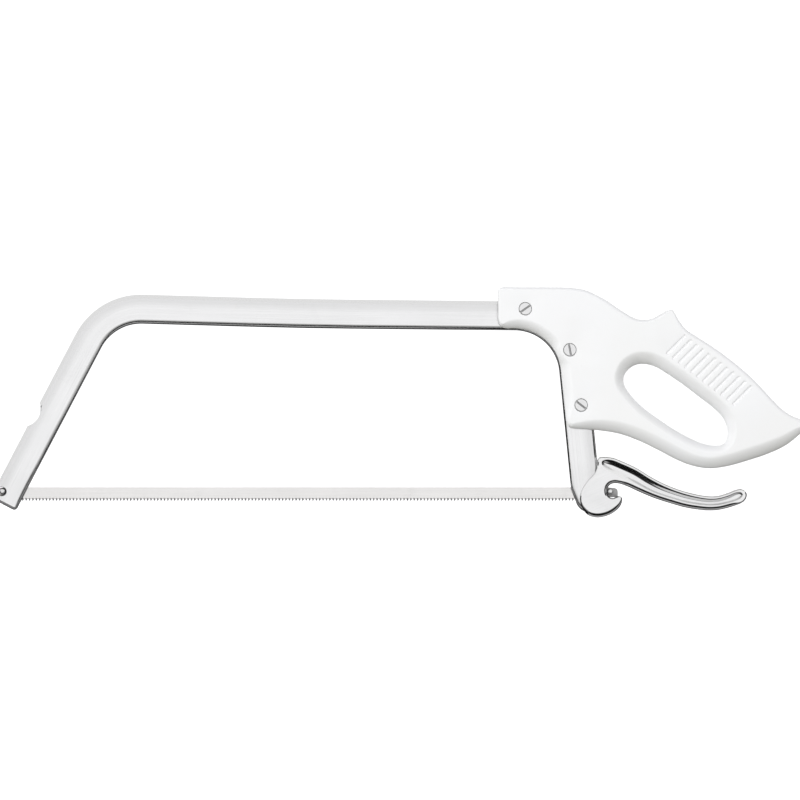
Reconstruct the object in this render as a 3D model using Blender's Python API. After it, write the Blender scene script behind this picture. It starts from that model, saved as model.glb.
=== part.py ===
"""Butcher's bone saw: bent flat-bar bow, moulded handle, toothed blade, cam tension lever.

Metres, +Z up, +X towards the handle, Y is the thickness (the near side is -Y).
Driving dimensions are in millimetres and are turned into metres in `to_metres`.
The lever turns about an axis along Y in the foot of the rear arm, and the blade's rear
pin turns in the lever's hook; an empty stands on each of those axes.
"""
import bpy
import bmesh
from math import atan2, cos, degrees, hypot, pi, radians, sin, tan
from mathutils import Matrix, Vector

MM = 0.001
FIT_GAP = 0.3                # free space between neighbouring solids
THROUGH = 6.0                # half length of a cutter that passes right through the bar
SHARP_ANGLE = 35.0           # edges that turn by more than this stay sharp when shaded

# ---- bow: flat bar bent round two corners -----------------------------------
BAR_WIDTH = 21.6
BAR_THICK = 5.0
BAR_EDGE = 2.4               # how far the rolled edge reaches in from the rim
BEND_RADIUS = 44.0           # centreline radius of both bends
BOW_END_FRONT = (-292.8, -75.1)
BOW_CORNER_FRONT = (-216.5, 70.2)
BOW_TOP_KINK = (-72.6, 66.1)
BOW_CORNER_REAR = (126.2, 64.1)
BOW_KINK_RADIUS = 4000.0
REAR_ARM_LEAN = 0.1          # sideways travel of the rear arm per unit of drop
BAR_EDGE_SHARE = 0.8         # depth of the rolled edge as a share of its width
FRONT_CORNER_RADIUS = 2.6
FRONT_EDGE = 2.1             # rolled edge round the square front end
SLOT_WIDTH = 1.5             # saw slots that take the blade
FRONT_SLOT_LENGTH = 36.0
REAR_SLOT_TOP_Z = -56.0
SLOT_REACH = 16.0            # how far the slot cutters reach past the bar
HANG_NOTCH = (-277.6, -4.4, 13.0)

# ---- blade --------------------------------------------------------------------
PIN_SPACING = 450.0
PIN_RADIUS = 1.9
PIN_HALF_LENGTH = 5.2
REAR_PIN = (157.3, -65.65)
FRONT_PIN = (REAR_PIN[0] - PIN_SPACING, REAR_PIN[1])
PIN_FIT = 0.05               # radial clearance of a pin in its hole
BLADE_THICK = 0.7
BLADE_TOP_Z = -62.5
TOOTH_ROOT_Z = -71.0
TOOTH_TIP_Z = -72.8
TOOTH_PITCH = 2.5
TOOTH_FIRST_X = -284.0
TOOTH_COUNT = 172
TOOTH_LEAN = 0.3             # the tip lies this share of a pitch behind the root
TAB_LENGTH = 5.6
TAB_BOTTOM_Z = -69.9
SEAT_RADIUS = 3.15           # front notch that holds the blade's pin
SEAT_X = FRONT_PIN[0] - 0.5
SEAT_MOUTH = 30.0            # the seat is open to the front for this far

# ---- lever ----------------------------------------------------------------------
PIVOT = (142.64, -70.1)
PIVOT_BEHIND = 3.1           # the pivot lies behind the rear arm's centreline by this
ARM_END_RADIUS = 11.4        # rear arm's end is rounded about the pivot
ARM_END_STOP = -165.0        # that arc ends at this angle, under the shoulder
SHOULDER_RISE = 6.5
BORE_FIT = 0.06              # radial clearance of the stubs in the bow
LEVER_HALF = 5.8
CHEEK_GAP_HALF = 2.8
GAP_PIN_RADIUS = 7.8         # room about the blade's rear pin at the end of the gap
GAP_BACK = [(118, -34), (147.8, -34), (150.05, -60.5)]
GAP_MOUTH = [(170, REAR_PIN[1]), (170, -95), (118, -95)]
LEVER_EDGE = 1.2
LEVER_EDGE_SHARE = 0.7
RECESS_DEPTH = 2.0
STUB_RADIUS = 3.0
STUB_INNER_Y = 1.0
STUB_OUTER_Y = 4.6
LEVER_TOP = [(149.2, -40.3), (153.5, -39.9), (159.5, -40.7), (165.0, -42.8), (176.5, -48.1),
             (186.5, -54.3), (197.0, -59.8), (207.5, -64.0), (218.0, -67.0), (228.5, -68.9),
             (236.0, -68.9), (244.0, -66.7), (249.5, -64.5)]
LEVER_TIP = [(253.8, -63.7), (257.0, -65.2), (258.2, -68.3), (256.9, -71.9), (253.6, -74.4)]
LEVER_LOW = [(248.0, -76.6), (239.0, -79.0), (231.0, -79.7), (223.0, -79.1), (212.5, -77.4),
             (202.5, -74.6), (192.0, -71.3), (184.5, -68.4), (176.5, -64.9), (169.5, -61.7)]
HOOK = [(164.0, -59.9), (160.3, -59.5), (157.3, -60.6), (155.5, -62.9), (155.1, -65.6),
        (155.6, -68.3), (157.2, -70.1), (159.5, -70.6), (162.0, -69.7), (164.2, -69.1),
        (165.6, -69.9)]
# the cheeks' round head, from the hook's lip clockwise to the neck, with the edge rounding
LEVER_HEAD = [(166.0, -71.6, 1.4), (165.2, -75.3, 2.4), (162.7, -79.2, 3.4), (158.2, -82.8, 3.8),
              (152.6, -85.0, 3.9), (146.6, -85.5, 3.8), (141.3, -83.7, 3.2), (137.5, -79.5, 2.0),
              (135.3, -75.2, 1.3), (134.6, -70.9, 1.2), (135.2, -67.0, 1.2), (136.7, -63.4, 1.2),
              (138.9, -59.7, 1.2), (141.2, -56.7, 1.2), (143.7, -54.2, 1.2), (146.0, -51.2, 1.2),
              (147.4, -47.0, 1.2), (147.9, -42.4, 1.2)]
RECESS = [(151.0, -43.6), (154.0, -42.3), (159.0, -42.8), (164.3, -44.9), (176.0, -50.2),
          (186.0, -56.4), (196.5, -61.9), (207.5, -66.2), (218.0, -69.2), (228.5, -71.1),
          (236.3, -71.0), (244.5, -68.8), (250.0, -66.6), (253.6, -66.4), (255.3, -68.4),
          (253.4, -71.1), (247.5, -73.6), (239.0, -75.7), (231.0, -76.4), (223.0, -75.8),
          (212.5, -74.0), (202.5, -71.2), (192.0, -67.9), (184.5, -64.8), (175.0, -60.0),
          (163.0, -54.0), (152.0, -47.2)]

# ---- handle ---------------------------------------------------------------------
HANDLE_HALF = 13.0
BAR_PROUD = 1.4              # the bar's inner edge stands out of the handle by this
SLOT_CLEAR = 0.3
FOLLOW_X = 82.0              # the front edge follows the bar from here ...
FOLLOW_Z = -10.0             # ... round to here
FRONT_EDGE_WIDTH = 7.0
# outline clockwise from the front end's top, with the width of the edge rounding
HANDLE_TOP = [(74.2, 81.0, 1.3), (74.7, 84.2, 1.4), (77.0, 85.2, 2.2), (90.0, 85.3, 4.0),
              (110.0, 85.3, 4.0), (127.0, 84.9, 4.0), (138.0, 83.2, 4.0), (146.0, 79.9, 4.0),
              (155.0, 74.8, 4.0), (166.0, 67.4, 4.0), (174.5, 62.6, 4.0), (182.0, 61.1, 4.0),
              (189.5, 62.8, 3.2), (196.0, 66.3, 2.0), (200.3, 68.6, 1.2), (202.5, 68.5, 0.9),
              (204.3, 66.2, 1.2), (207.8, 60.2, 2.0), (213.0, 53.9, 3.2), (221.0, 48.6, 4.0),
              (234.0, 40.2, 4.0), (248.5, 29.4, 4.0), (262.0, 17.7, 4.0), (274.5, 4.4, 4.0),
              (283.5, -4.8, 4.0), (290.5, -9.4, 3.4), (297.3, -12.3, 2.4), (300.2, -14.2, 2.2),
              (301.4, -16.9, 3.0), (300.4, -19.9, 4.4), (296.8, -23.4, 6.0), (287.5, -31.0, 8.5),
              (275.0, -37.2, 9.5), (258.5, -42.8, 9.5), (243.0, -47.0, 9.0), (230.0, -48.4, 8.5),
              (218.0, -46.5, 8.5), (206.0, -41.8, 9.0), (193.5, -35.2, 9.0), (178.5, -28.0, 9.0),
              (164.0, -22.9, 9.0), (151.5, -20.7, 9.0), (139.0, -19.6, 8.5), (131.0, -18.9, 7.0)]
HAND_HOLE = [(167.2, 14.5, 7.0), (167.6, 20.0, 8.0), (171.3, 25.2, 8.5), (177.0, 28.3, 8.5),
             (184.0, 28.6, 8.5), (191.0, 26.6, 8.5), (199.5, 21.6, 8.5), (210.5, 14.2, 8.5),
             (222.0, 5.4, 8.5), (233.5, -3.5, 8.0), (240.4, -10.4, 7.0), (244.0, -18.6, 6.0),
             (244.1, -26.0, 5.0), (241.0, -30.6, 5.0), (234.5, -31.6, 5.5), (224.0, -29.4, 6.0),
             (209.0, -22.3, 6.0), (194.0, -12.8, 6.0), (181.0, -3.2, 6.0), (171.5, 6.8, 6.0)]
# foot of the front edge: distance behind the bar's edge, z, edge width
HANDLE_FOOT = [(3.4, -18.5, 5.5), (1.0, -17.6, 4.5), (0.0, -14.6, 4.2), (0.0, -10.0, 5.0)]
# start of the front edge: x, height above the edge under the bar, edge width
HANDLE_LEAD = [(79.2, 0.1, 5.0), (76.0, 1.6, 2.6), (74.4, 5.0, 1.5), (74.1, 14.0, 1.3)]
HANDLE_START_X = 60.0        # the bar's slot is cut from here on
SLOT_OPEN = 12.0             # the slot's cutter reaches this far past the bar's inner edge
GROOVE_COUNT = 12
GROOVE_FIRST = (205.0, 42.5)      # middle of the first grip groove
GROOVE_LAST = (253.9, 5.2)
GROOVE_LENGTH = 19.0
GROOVE_WIDTH = 2.6
GROOVE_DEPTH = 0.8
GROOVE_SLOPE = 0.55          # the groove is narrower and wider by this share, below and above
GROOVE_RAKE = 45.0
# x, z and the angle of the driving slot
SCREWS = {"top": (94.0, 69.4, 35.0), "middle": (126.9, 39.1, -79.0), "bottom": (135.2, -1.7, -38.0)}
NUT_TWIST = 55.0             # a nut's slot is turned by this from its screw's
SCREW_HEAD_RADIUS = 4.9
SCREW_HEAD_DEPTH = 4.0
SCREW_HEAD_CHAMFER = 0.4
SCREW_SHANK_RADIUS = 2.5
SHANK_END = 7.0              # the shank ends this far past the mid plane
SLEEVE_START = 3.1
SLEEVE_FLOOR = 8.0
SCREW_SUNK = 0.25
NUT_SLEEVE_RADIUS = 4.0
DRIVE_SLOT_WIDTH = 1.2
DRIVE_SLOT_DEPTH = 1.2

COLOURS = {
    "bow_frame": ((0.62, 0.62, 0.61), 1.0, 0.32),
    "handle": ((0.88, 0.88, 0.88), 0.0, 0.42),
    "handle_screw": ((0.60, 0.60, 0.60), 1.0, 0.28),
    "handle_nut": ((0.58, 0.58, 0.59), 1.0, 0.30),
    "tension_lever": ((0.66, 0.66, 0.65), 1.0, 0.25),
    "lever_pivot": ((0.55, 0.55, 0.56), 1.0, 0.30),
    "saw_blade": ((0.64, 0.63, 0.61), 1.0, 0.36),
    "blade_pin": ((0.70, 0.70, 0.70), 1.0, 0.22),
}


# ---- plane geometry ---------------------------------------------------------------
def arc(centre, radius, start, end, steps):
    """Points on a circle from start to end, in degrees anticlockwise from +X."""
    return [(centre[0] + radius * cos(radians(start + (end - start) * i / steps)),
             centre[1] + radius * sin(radians(start + (end - start) * i / steps)))
            for i in range(steps + 1)]


def filleted(corners, step):
    """Open path through corners (x, z, radius), each corner turned into an arc."""
    path = [corners[0][:2]]
    for before, (x, z, radius), after in zip(corners, corners[1:], corners[2:]):
        ax, az = before[0] - x, before[1] - z
        bx, bz = after[0] - x, after[1] - z
        la, lb = hypot(ax, az), hypot(bx, bz)
        ax, az, bx, bz = ax / la, az / la, bx / lb, bz / lb
        turn = pi - atan2(abs(ax * bz - az * bx), ax * bx + az * bz)
        reach = radius * tan(turn / 2)
        mx, mz = ax + bx, az + bz
        lm = hypot(mx, mz)
        far = radius / cos(turn / 2)
        cx, cz = x + mx / lm * far, z + mz / lm * far
        first = atan2(z + az * reach - cz, x + ax * reach - cx)
        last = atan2(z + bz * reach - cz, x + bx * reach - cx)
        sweep = (last - first + pi) % (2 * pi) - pi
        count = max(2, round(abs(sweep) / step))
        path += arc((cx, cz), radius, degrees(first), degrees(first + sweep), count)
    return path + [corners[-1][:2]]


def offset_path(path, distance):
    """Path moved sideways: positive is to the left of its direction."""
    moved = []
    for i, (x, z) in enumerate(path):
        x0, z0 = path[max(i - 1, 0)]
        x1, z1 = path[min(i + 1, len(path) - 1)]
        length = hypot(x1 - x0, z1 - z0)
        moved.append((x - (z1 - z0) / length * distance, z + (x1 - x0) / length * distance))
    return moved


def smooth(points, per_span, closed=False):
    """Centripetal Catmull-Rom curve through points of any number of coordinates."""
    count = len(points)
    spans = count if closed else count - 1
    curve = []
    for i in range(spans):
        if closed:
            p = [points[(i + k) % count] for k in (-1, 0, 1, 2)]
        else:
            p = [points[max(i - 1, 0)], points[i], points[i + 1], points[min(i + 2, count - 1)]]
            if i == 0:
                p[0] = tuple(2 * a - b for a, b in zip(p[1], p[2]))
            if i == spans - 1:
                p[3] = tuple(2 * a - b for a, b in zip(p[2], p[1]))
        knots = [0.0]
        for a, b in zip(p, p[1:]):
            knots.append(knots[-1] + max(hypot(b[0] - a[0], b[1] - a[1]), 1e-6) ** 0.5)
        for s in range(per_span):
            t = knots[1] + (knots[2] - knots[1]) * s / per_span
            level = list(p)
            for depth in (1, 2, 3):
                nxt = []
                for j in range(len(level) - 1):
                    lo = knots[j] if depth < 3 else knots[1]
                    hi = knots[j + depth] if depth < 3 else knots[2]
                    f = (t - lo) / (hi - lo)
                    nxt.append(tuple(a + (b - a) * f for a, b in zip(level[j], level[j + 1])))
                level = nxt
            curve.append(level[0])
    if not closed:
        curve.append(tuple(points[-1]))
    return curve


def bar_path(step=0.16):
    """Centreline of the bow from its front end to the foot of its rear arm."""
    foot = (PIVOT[0] - PIVOT_BEHIND, PIVOT[1])
    corners = [(*BOW_END_FRONT, 0), (*BOW_CORNER_FRONT, BEND_RADIUS),
               (*BOW_TOP_KINK, BOW_KINK_RADIUS), (*BOW_CORNER_REAR, BEND_RADIUS), (*foot, 0)]
    return filleted(corners, step)


# ---- solids -------------------------------------------------------------------------
def to_metres(x, y, z):
    return (x * MM, y * MM, z * MM)


def link(name, bm):
    """New object from a bmesh, shaded smooth between its sharp edges."""
    mesh = bpy.data.meshes.new(name)
    bmesh.ops.recalc_face_normals(bm, faces=bm.faces)
    bm.to_mesh(mesh)
    bm.free()
    mesh.shade_smooth()
    mesh.set_sharp_from_angle(angle=radians(SHARP_ANGLE))
    obj = bpy.data.objects.new(name, mesh)
    bpy.context.scene.collection.objects.link(obj)
    return obj


def prism(name, outline, y0, y1):
    """Straight extrusion of an x, z outline between two y planes."""
    bm = bmesh.new()
    near = [bm.verts.new(to_metres(x, y0, z)) for x, z in outline]
    far = [bm.verts.new(to_metres(x, y1, z)) for x, z in outline]
    bm.faces.new(near)
    bm.faces.new(far)
    for i in range(len(outline)):
        j = (i + 1) % len(outline)
        bm.faces.new((near[i], near[j], far[j], far[i]))
    return link(name, bm)


def rod(name, x, z, radius, y0, y1, sides=24):
    return prism(name, arc((x, z), radius, 0, 360, sides)[:-1], y0, y1)


def signed_area(loop):
    return sum(a[0] * b[1] - b[0] * a[1] for a, b in zip(loop, loop[1:] + loop[:1])) / 2


def inset(loop, into_left, share):
    """Loop moved to its left (or right) by `share` of each point's own width."""
    moved = []
    count = len(loop)
    for i, (x, z, width) in enumerate(loop):
        x0, z0 = loop[i - 1][:2]
        x1, z1 = loop[(i + 1) % count][:2]
        length = hypot(x1 - x0, z1 - z0)
        side = width * share * (1 if into_left else -1)
        moved.append((x - (z1 - z0) / length * side, z + (x1 - x0) / length * side))
    return moved


def rim_ring(bm, loop, material_left, side, half, depth_share, angle):
    """One ring of a rounded rim: angle 0 is its innermost line, on the plate's face."""
    flat = inset(loop, material_left, 1 - sin(angle))
    drop = depth_share * (1 - cos(angle))
    return [bm.verts.new(to_metres(x, side * (half - point[2] * drop), z))
            for (x, z), point in zip(flat, loop)]


def rounded_plate(name, outer, holes, half, depth_share=1.0, steps=3):
    """Plate of thickness 2*half whose rim and holes are rounded by each point's width."""
    bm = bmesh.new()
    face_rings = ([], [])
    for number, loop in enumerate([outer] + holes):
        material_left = (signed_area([p[:2] for p in loop]) > 0) == (number == 0)
        angles = [pi / 2 * j / steps for j in range(steps + 1)]
        near, far = [[rim_ring(bm, loop, material_left, side, half, depth_share, angle)
                      for angle in angles] for side in (-1, 1)]
        order = near + far[::-1]
        for a, b in zip(order, order[1:]):
            for i in range(len(a)):
                k = (i + 1) % len(a)
                bm.faces.new((a[i], a[k], b[k], b[i]))
        face_rings[0].append(near[0])
        face_rings[1].append(far[0])
    for rings in face_rings:
        edges = [bm.edges.get((r[i], r[(i + 1) % len(r)])) for r in rings for i in range(len(r))]
        bmesh.ops.triangle_fill(bm, use_beauty=True, use_dissolve=False, edges=edges)
    return link(name, bm)


def cut(target, cutters):
    """Take the cutters, which then hang on the target, away from it with exact booleans."""
    for cutter in cutters:
        cutter.hide_render = True
        cutter.display_type = "WIRE"
        cutter.parent = target
        modifier = target.modifiers.new("cut_" + cutter.name, "BOOLEAN")
        modifier.operation = "DIFFERENCE"
        modifier.solver = "EXACT"
        modifier.object = cutter
    return target


def joined(name, parts):
    """One cutter made of several separate solids."""
    bm = bmesh.new()
    for part in parts:
        bm.from_mesh(part.data)
        bpy.data.objects.remove(part)
    return link(name, bm)


# ---- bow ------------------------------------------------------------------------------
def front_end(outer, inner):
    """Square end of the front arm with rounded corners."""
    return filleted([(*outer[1], 0), (*outer[0], FRONT_CORNER_RADIUS),
                     (*inner[0], FRONT_CORNER_RADIUS), (*inner[1], 0)], 0.5)[1:-1]


def rear_end():
    """Foot of the rear arm: its shoulder, then an arc about the pivot up to its rear edge."""
    lean = hypot(REAR_ARM_LEAN, 1)
    right = BAR_WIDTH / 2 - PIVOT_BEHIND / lean
    left = BAR_WIDTH / 2 + PIVOT_BEHIND / lean
    shoulder = (PIVOT[0] - left * lean - REAR_ARM_LEAN * SHOULDER_RISE, PIVOT[1] + SHOULDER_RISE)
    tilt = degrees(atan2(REAR_ARM_LEAN, 1))
    start = degrees(atan2((ARM_END_RADIUS ** 2 - right ** 2) ** 0.5, right))
    return [shoulder] + arc(PIVOT, ARM_END_RADIUS, ARM_END_STOP, -start - tilt, 10)


def front_slot():
    """Saw slot up the front arm, square to it and open at its end."""
    ux, uz = BOW_CORNER_FRONT[0] - BOW_END_FRONT[0], BOW_CORNER_FRONT[1] - BOW_END_FRONT[1]
    length = hypot(ux, uz)
    ux, uz = ux / length, uz / length
    box = ((-SLOT_REACH / 2, -SLOT_REACH), (FRONT_SLOT_LENGTH, -SLOT_REACH),
           (FRONT_SLOT_LENGTH, SLOT_REACH), (-SLOT_REACH / 2, SLOT_REACH))
    corners = [(BOW_END_FRONT[0] + ux * a + uz * b, BOW_END_FRONT[1] + uz * a - ux * b)
               for a, b in box]
    return prism("front_slot", corners, -SLOT_WIDTH / 2, SLOT_WIDTH / 2)


def rear_slot():
    """Saw slot in the foot of the rear arm."""
    left, right = PIVOT[0] - SLOT_REACH - ARM_END_RADIUS, PIVOT[0] + SLOT_REACH + ARM_END_RADIUS
    low = PIVOT[1] - SLOT_REACH - ARM_END_RADIUS
    corners = [(left, REAR_SLOT_TOP_Z), (right, REAR_SLOT_TOP_Z), (right, low), (left, low)]
    return prism("rear_slot", corners, -SLOT_WIDTH / 2, SLOT_WIDTH / 2)


def pin_seat():
    """Round-bottomed notch in the front edge that holds the blade's front pin."""
    top, low = FRONT_PIN[1] + SEAT_RADIUS, FRONT_PIN[1] - SEAT_RADIUS
    outline = arc((SEAT_X, FRONT_PIN[1]), SEAT_RADIUS, 90, -90, 10)
    outline += [(SEAT_X - SEAT_MOUTH, low), (SEAT_X - SEAT_MOUTH, top)]
    return prism("pin_seat", outline, -THROUGH, THROUGH)


def make_bow_frame():
    path = bar_path()
    inner = offset_path(path, -BAR_WIDTH / 2)
    outer = offset_path(path, BAR_WIDTH / 2)
    outline = inner[1:-1] + rear_end() + outer[-2:0:-1]
    loop = [(*point, FRONT_EDGE) for point in front_end(outer, inner)]
    loop += [(*point, BAR_EDGE) for point in outline]
    frame = rounded_plate("bow_frame", loop, [], BAR_THICK / 2, BAR_EDGE_SHARE)
    notch = rod("hang_notch", *HANG_NOTCH, -THROUGH, THROUGH, sides=40)
    bores = [rod("pivot_bore", *PIVOT, STUB_RADIUS + BORE_FIT, -THROUGH, THROUGH)]
    for key, (x, z, _) in SCREWS.items():
        bores.append(rod("bar_bore_" + key, x, z, SCREW_SHANK_RADIUS + FIT_GAP,
                         -THROUGH, THROUGH, sides=20))
    return cut(frame, [front_slot(), rear_slot(), pin_seat(), notch, joined("bar_bores", bores)])


# ---- handle ---------------------------------------------------------------------------
def arm_edge_x(edge, z):
    """Where the straight last stretch of the bar's edge is at height z."""
    (x0, z0), (x1, z1) = edge[-2:]
    return x0 + (x1 - x0) * (z - z0) / (z1 - z0)


def handle_outline():
    """Shaped back and underside, then a front edge that follows the bar back to the start."""
    edge = offset_path(bar_path(), -(BAR_WIDTH / 2 - BAR_PROUD))
    follow = [(x, z, FRONT_EDGE_WIDTH) for x, z in edge if x > FOLLOW_X and z > FOLLOW_Z]
    foot = [(arm_edge_x(edge, z) + behind, z, width) for behind, z, width in HANDLE_FOOT]
    lead = [(x, follow[0][1] + rise, width) for x, rise, width in HANDLE_LEAD]
    return smooth(HANDLE_TOP, 2) + foot + follow[::-1] + lead


def bar_slot():
    """The bar's own stretch, a little larger, and open towards the throat."""
    path = bar_path()
    back = offset_path(path, BAR_WIDTH / 2 + SLOT_CLEAR)
    front = offset_path(path, -(BAR_WIDTH / 2 + SLOT_OPEN))
    first = next(i for i, (x, z) in enumerate(path) if x > HANDLE_START_X) - 1
    half = BAR_THICK / 2 + SLOT_CLEAR
    return prism("bar_slot", back[first:] + front[first:][::-1], -half, half)


def groove(name, cx, cz, side):
    """Long wedge that cuts one grip groove with sloping sides."""
    bm = bmesh.new()
    c, s = cos(radians(GROOVE_RAKE)), sin(radians(GROOVE_RAKE))
    rings = []
    for rise, wide in ((-GROOVE_DEPTH, 1 - GROOVE_SLOPE), (GROOVE_DEPTH, 1 + GROOVE_SLOPE)):
        long = GROOVE_LENGTH / 2 + rise * GROOVE_SLOPE / 2
        broad = GROOVE_WIDTH / 2 * wide
        corners = ((-long, -broad), (long, -broad), (long, broad), (-long, broad))
        rings.append([bm.verts.new(to_metres(cx + a * c - b * s, side * (HANDLE_HALF + rise),
                                             cz + a * s + b * c)) for a, b in corners])
    bm.faces.new(rings[0])
    bm.faces.new(rings[1])
    for i in range(4):
        j = (i + 1) % 4
        bm.faces.new((rings[0][i], rings[0][j], rings[1][j], rings[1][i]))
    return link(name, bm)


def grip_grooves():
    """Grooves in an even row along the back of the grip, on both sides."""
    made = []
    for i in range(GROOVE_COUNT):
        share = i / (GROOVE_COUNT - 1)
        cx, cz = (a + (b - a) * share for a, b in zip(GROOVE_FIRST, GROOVE_LAST))
        made += [groove("groove", cx, cz, side) for side in (-1, 1)]
    return joined("grip_grooves", made)


def make_handle():
    hole = smooth(HAND_HOLE, 2, closed=True)
    handle = rounded_plate("handle", handle_outline(), [hole], HANDLE_HALF)
    floor = HANDLE_HALF - SCREW_HEAD_DEPTH - SCREW_SUNK - FIT_GAP
    sinks, shanks, sleeves = [], [], []
    for key, (x, z, _) in SCREWS.items():
        wide = SCREW_HEAD_RADIUS + FIT_GAP
        sinks.append(rod("near_sink_" + key, x, z, wide, -HANDLE_HALF - 2, -floor))
        sinks.append(rod("far_sink_" + key, x, z, wide, floor, HANDLE_HALF + 2))
        shanks.append(rod("near_bore_" + key, x, z, SCREW_SHANK_RADIUS + FIT_GAP,
                          -floor - 1, 0, sides=20))
        sleeves.append(rod("far_bore_" + key, x, z, NUT_SLEEVE_RADIUS + FIT_GAP, 0, floor + 1))
    return cut(handle, [bar_slot(), joined("screw_sinks", sinks), joined("screw_bores", shanks),
                        joined("sleeve_bores", sleeves), grip_grooves()])


# ---- handle screws and their sleeve nuts --------------------------------------------
def turn(name, x, z, profile, side, sides=20):
    """Turned solid about a line along Y: profile is (radius, distance from the mid plane)."""
    bm = bmesh.new()
    rings = []
    for radius, y in profile:
        if radius == 0:
            rings.append([bm.verts.new(to_metres(x, side * y, z))])
        else:
            rings.append([bm.verts.new(to_metres(px, side * y, pz))
                          for px, pz in arc((x, z), radius, 0, 360, sides)[:-1]])
    for a, b in zip(rings, rings[1:]):
        for i in range(sides):
            j = (i + 1) % sides
            quad = [a[i % len(a)], a[j % len(a)], b[j % len(b)], b[i % len(b)]]
            bm.faces.new(list(dict.fromkeys(quad)))
    return link(name, bm)


def drive_slot(name, x, z, angle, side):
    """Screwdriver slot across a head."""
    c, s = cos(radians(angle)), sin(radians(angle))
    long, broad = SCREW_HEAD_RADIUS + 1, DRIVE_SLOT_WIDTH / 2
    corners = [(x + a * c - b * s, z + a * s + b * c)
               for a, b in ((-long, -broad), (long, -broad), (long, broad), (-long, broad))]
    face = HANDLE_HALF - SCREW_SUNK
    low, high = sorted((side * (face - DRIVE_SLOT_DEPTH), side * (face + 1)))
    return prism(name, corners, low, high)


def make_screws():
    face = HANDLE_HALF - SCREW_SUNK
    shoulder = face - SCREW_HEAD_DEPTH
    head = [(0, face), (SCREW_HEAD_RADIUS - SCREW_HEAD_CHAMFER, face),
            (SCREW_HEAD_RADIUS, face - SCREW_HEAD_CHAMFER), (SCREW_HEAD_RADIUS, shoulder)]
    shank = [(SCREW_SHANK_RADIUS, shoulder), (SCREW_SHANK_RADIUS, -SHANK_END), (0, -SHANK_END)]
    inside = SCREW_SHANK_RADIUS + FIT_GAP
    sleeve = [(NUT_SLEEVE_RADIUS, shoulder), (NUT_SLEEVE_RADIUS, SLEEVE_START),
              (inside, SLEEVE_START), (inside, SLEEVE_FLOOR), (0, SLEEVE_FLOOR)]
    made = []
    for key, (x, z, angle) in SCREWS.items():
        screw = turn("handle_screw_" + key, x, z, head + shank, -1)
        made.append(cut(screw, [drive_slot("screw_slot_" + key, x, z, angle, -1)]))
        nut = turn("handle_nut_" + key, x, z, head + sleeve, 1)
        made.append(cut(nut, [drive_slot("nut_slot_" + key, x, z, angle + NUT_TWIST, 1)]))
    return made


# ---- lever and blade ------------------------------------------------------------------
def lever_outline():
    arm = [(x, z, LEVER_EDGE) for x, z in LEVER_TOP + LEVER_TIP + LEVER_LOW + HOOK]
    return smooth(arm + LEVER_HEAD, 2, closed=True)


def make_lever():
    """Lever with a gap between its two cheeks, a dished arm, and its two stub pivots."""
    lever = rounded_plate("tension_lever", lever_outline(), [], LEVER_HALF,
                          LEVER_EDGE_SHARE, steps=2)
    gap = GAP_BACK + arc(REAR_PIN, GAP_PIN_RADIUS, 146, 0, 10) + GAP_MOUTH
    gap = prism("cheek_gap", gap, -CHEEK_GAP_HALF, CHEEK_GAP_HALF)
    dish = smooth(RECESS, 1, closed=True)
    dishes = joined("arm_recess", [
        prism("recess_near", dish, -LEVER_HALF - 1, -LEVER_HALF + RECESS_DEPTH),
        prism("recess_far", dish, LEVER_HALF - RECESS_DEPTH, LEVER_HALF + 1)])
    wide, end = STUB_RADIUS + PIN_FIT, STUB_OUTER_Y + PIN_FIT
    bores = joined("stub_bores", [rod("stub_bore_near", *PIVOT, wide, -end, 0),
                                  rod("stub_bore_far", *PIVOT, wide, 0, end)])
    return [cut(lever, [gap, dishes, bores]),
            rod("lever_pivot_near", *PIVOT, STUB_RADIUS, -STUB_OUTER_Y, -STUB_INNER_Y),
            rod("lever_pivot_far", *PIVOT, STUB_RADIUS, STUB_INNER_Y, STUB_OUTER_Y)]


def tooth_line():
    """Teeth from front to rear, each with a raked face and a long back."""
    teeth = []
    for i in range(TOOTH_COUNT):
        x = TOOTH_FIRST_X + i * TOOTH_PITCH
        teeth += [(x, TOOTH_ROOT_Z), (x + TOOTH_PITCH * TOOTH_LEAN, TOOTH_TIP_Z)]
    return teeth + [(TOOTH_FIRST_X + TOOTH_COUNT * TOOTH_PITCH, TOOTH_ROOT_Z)]


def make_blade():
    """Blade with its two end tabs, and the pin riveted through each tab."""
    front, rear = FRONT_PIN[0], REAR_PIN[0]
    outline = [(front - TAB_LENGTH, BLADE_TOP_Z - 3.0), (front - TAB_LENGTH + 2.2, BLADE_TOP_Z - 0.8),
               (front + 3.0, BLADE_TOP_Z), (rear - 3.0, BLADE_TOP_Z),
               (rear + TAB_LENGTH - 1.8, BLADE_TOP_Z - 0.8), (rear + TAB_LENGTH, BLADE_TOP_Z - 2.8),
               (rear + TAB_LENGTH, TAB_BOTTOM_Z), (rear - 3.0, TAB_BOTTOM_Z),
               (rear - 4.5, TOOTH_ROOT_Z)]
    outline += tooth_line()[::-1]
    outline += [(front + 3.0, TAB_BOTTOM_Z), (front - TAB_LENGTH, TAB_BOTTOM_Z)]
    blade = prism("saw_blade", outline, -BLADE_THICK / 2, BLADE_THICK / 2)
    holes, pins = [], []
    for key, place in (("front", FRONT_PIN), ("rear", REAR_PIN)):
        holes.append(rod("blade_hole_" + key, *place, PIN_RADIUS + PIN_FIT, -THROUGH, THROUGH))
        pins.append(rod("blade_pin_" + key, *place, PIN_RADIUS, -PIN_HALF_LENGTH, PIN_HALF_LENGTH))
    return [cut(blade, [joined("blade_holes", holes)])] + pins


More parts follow.
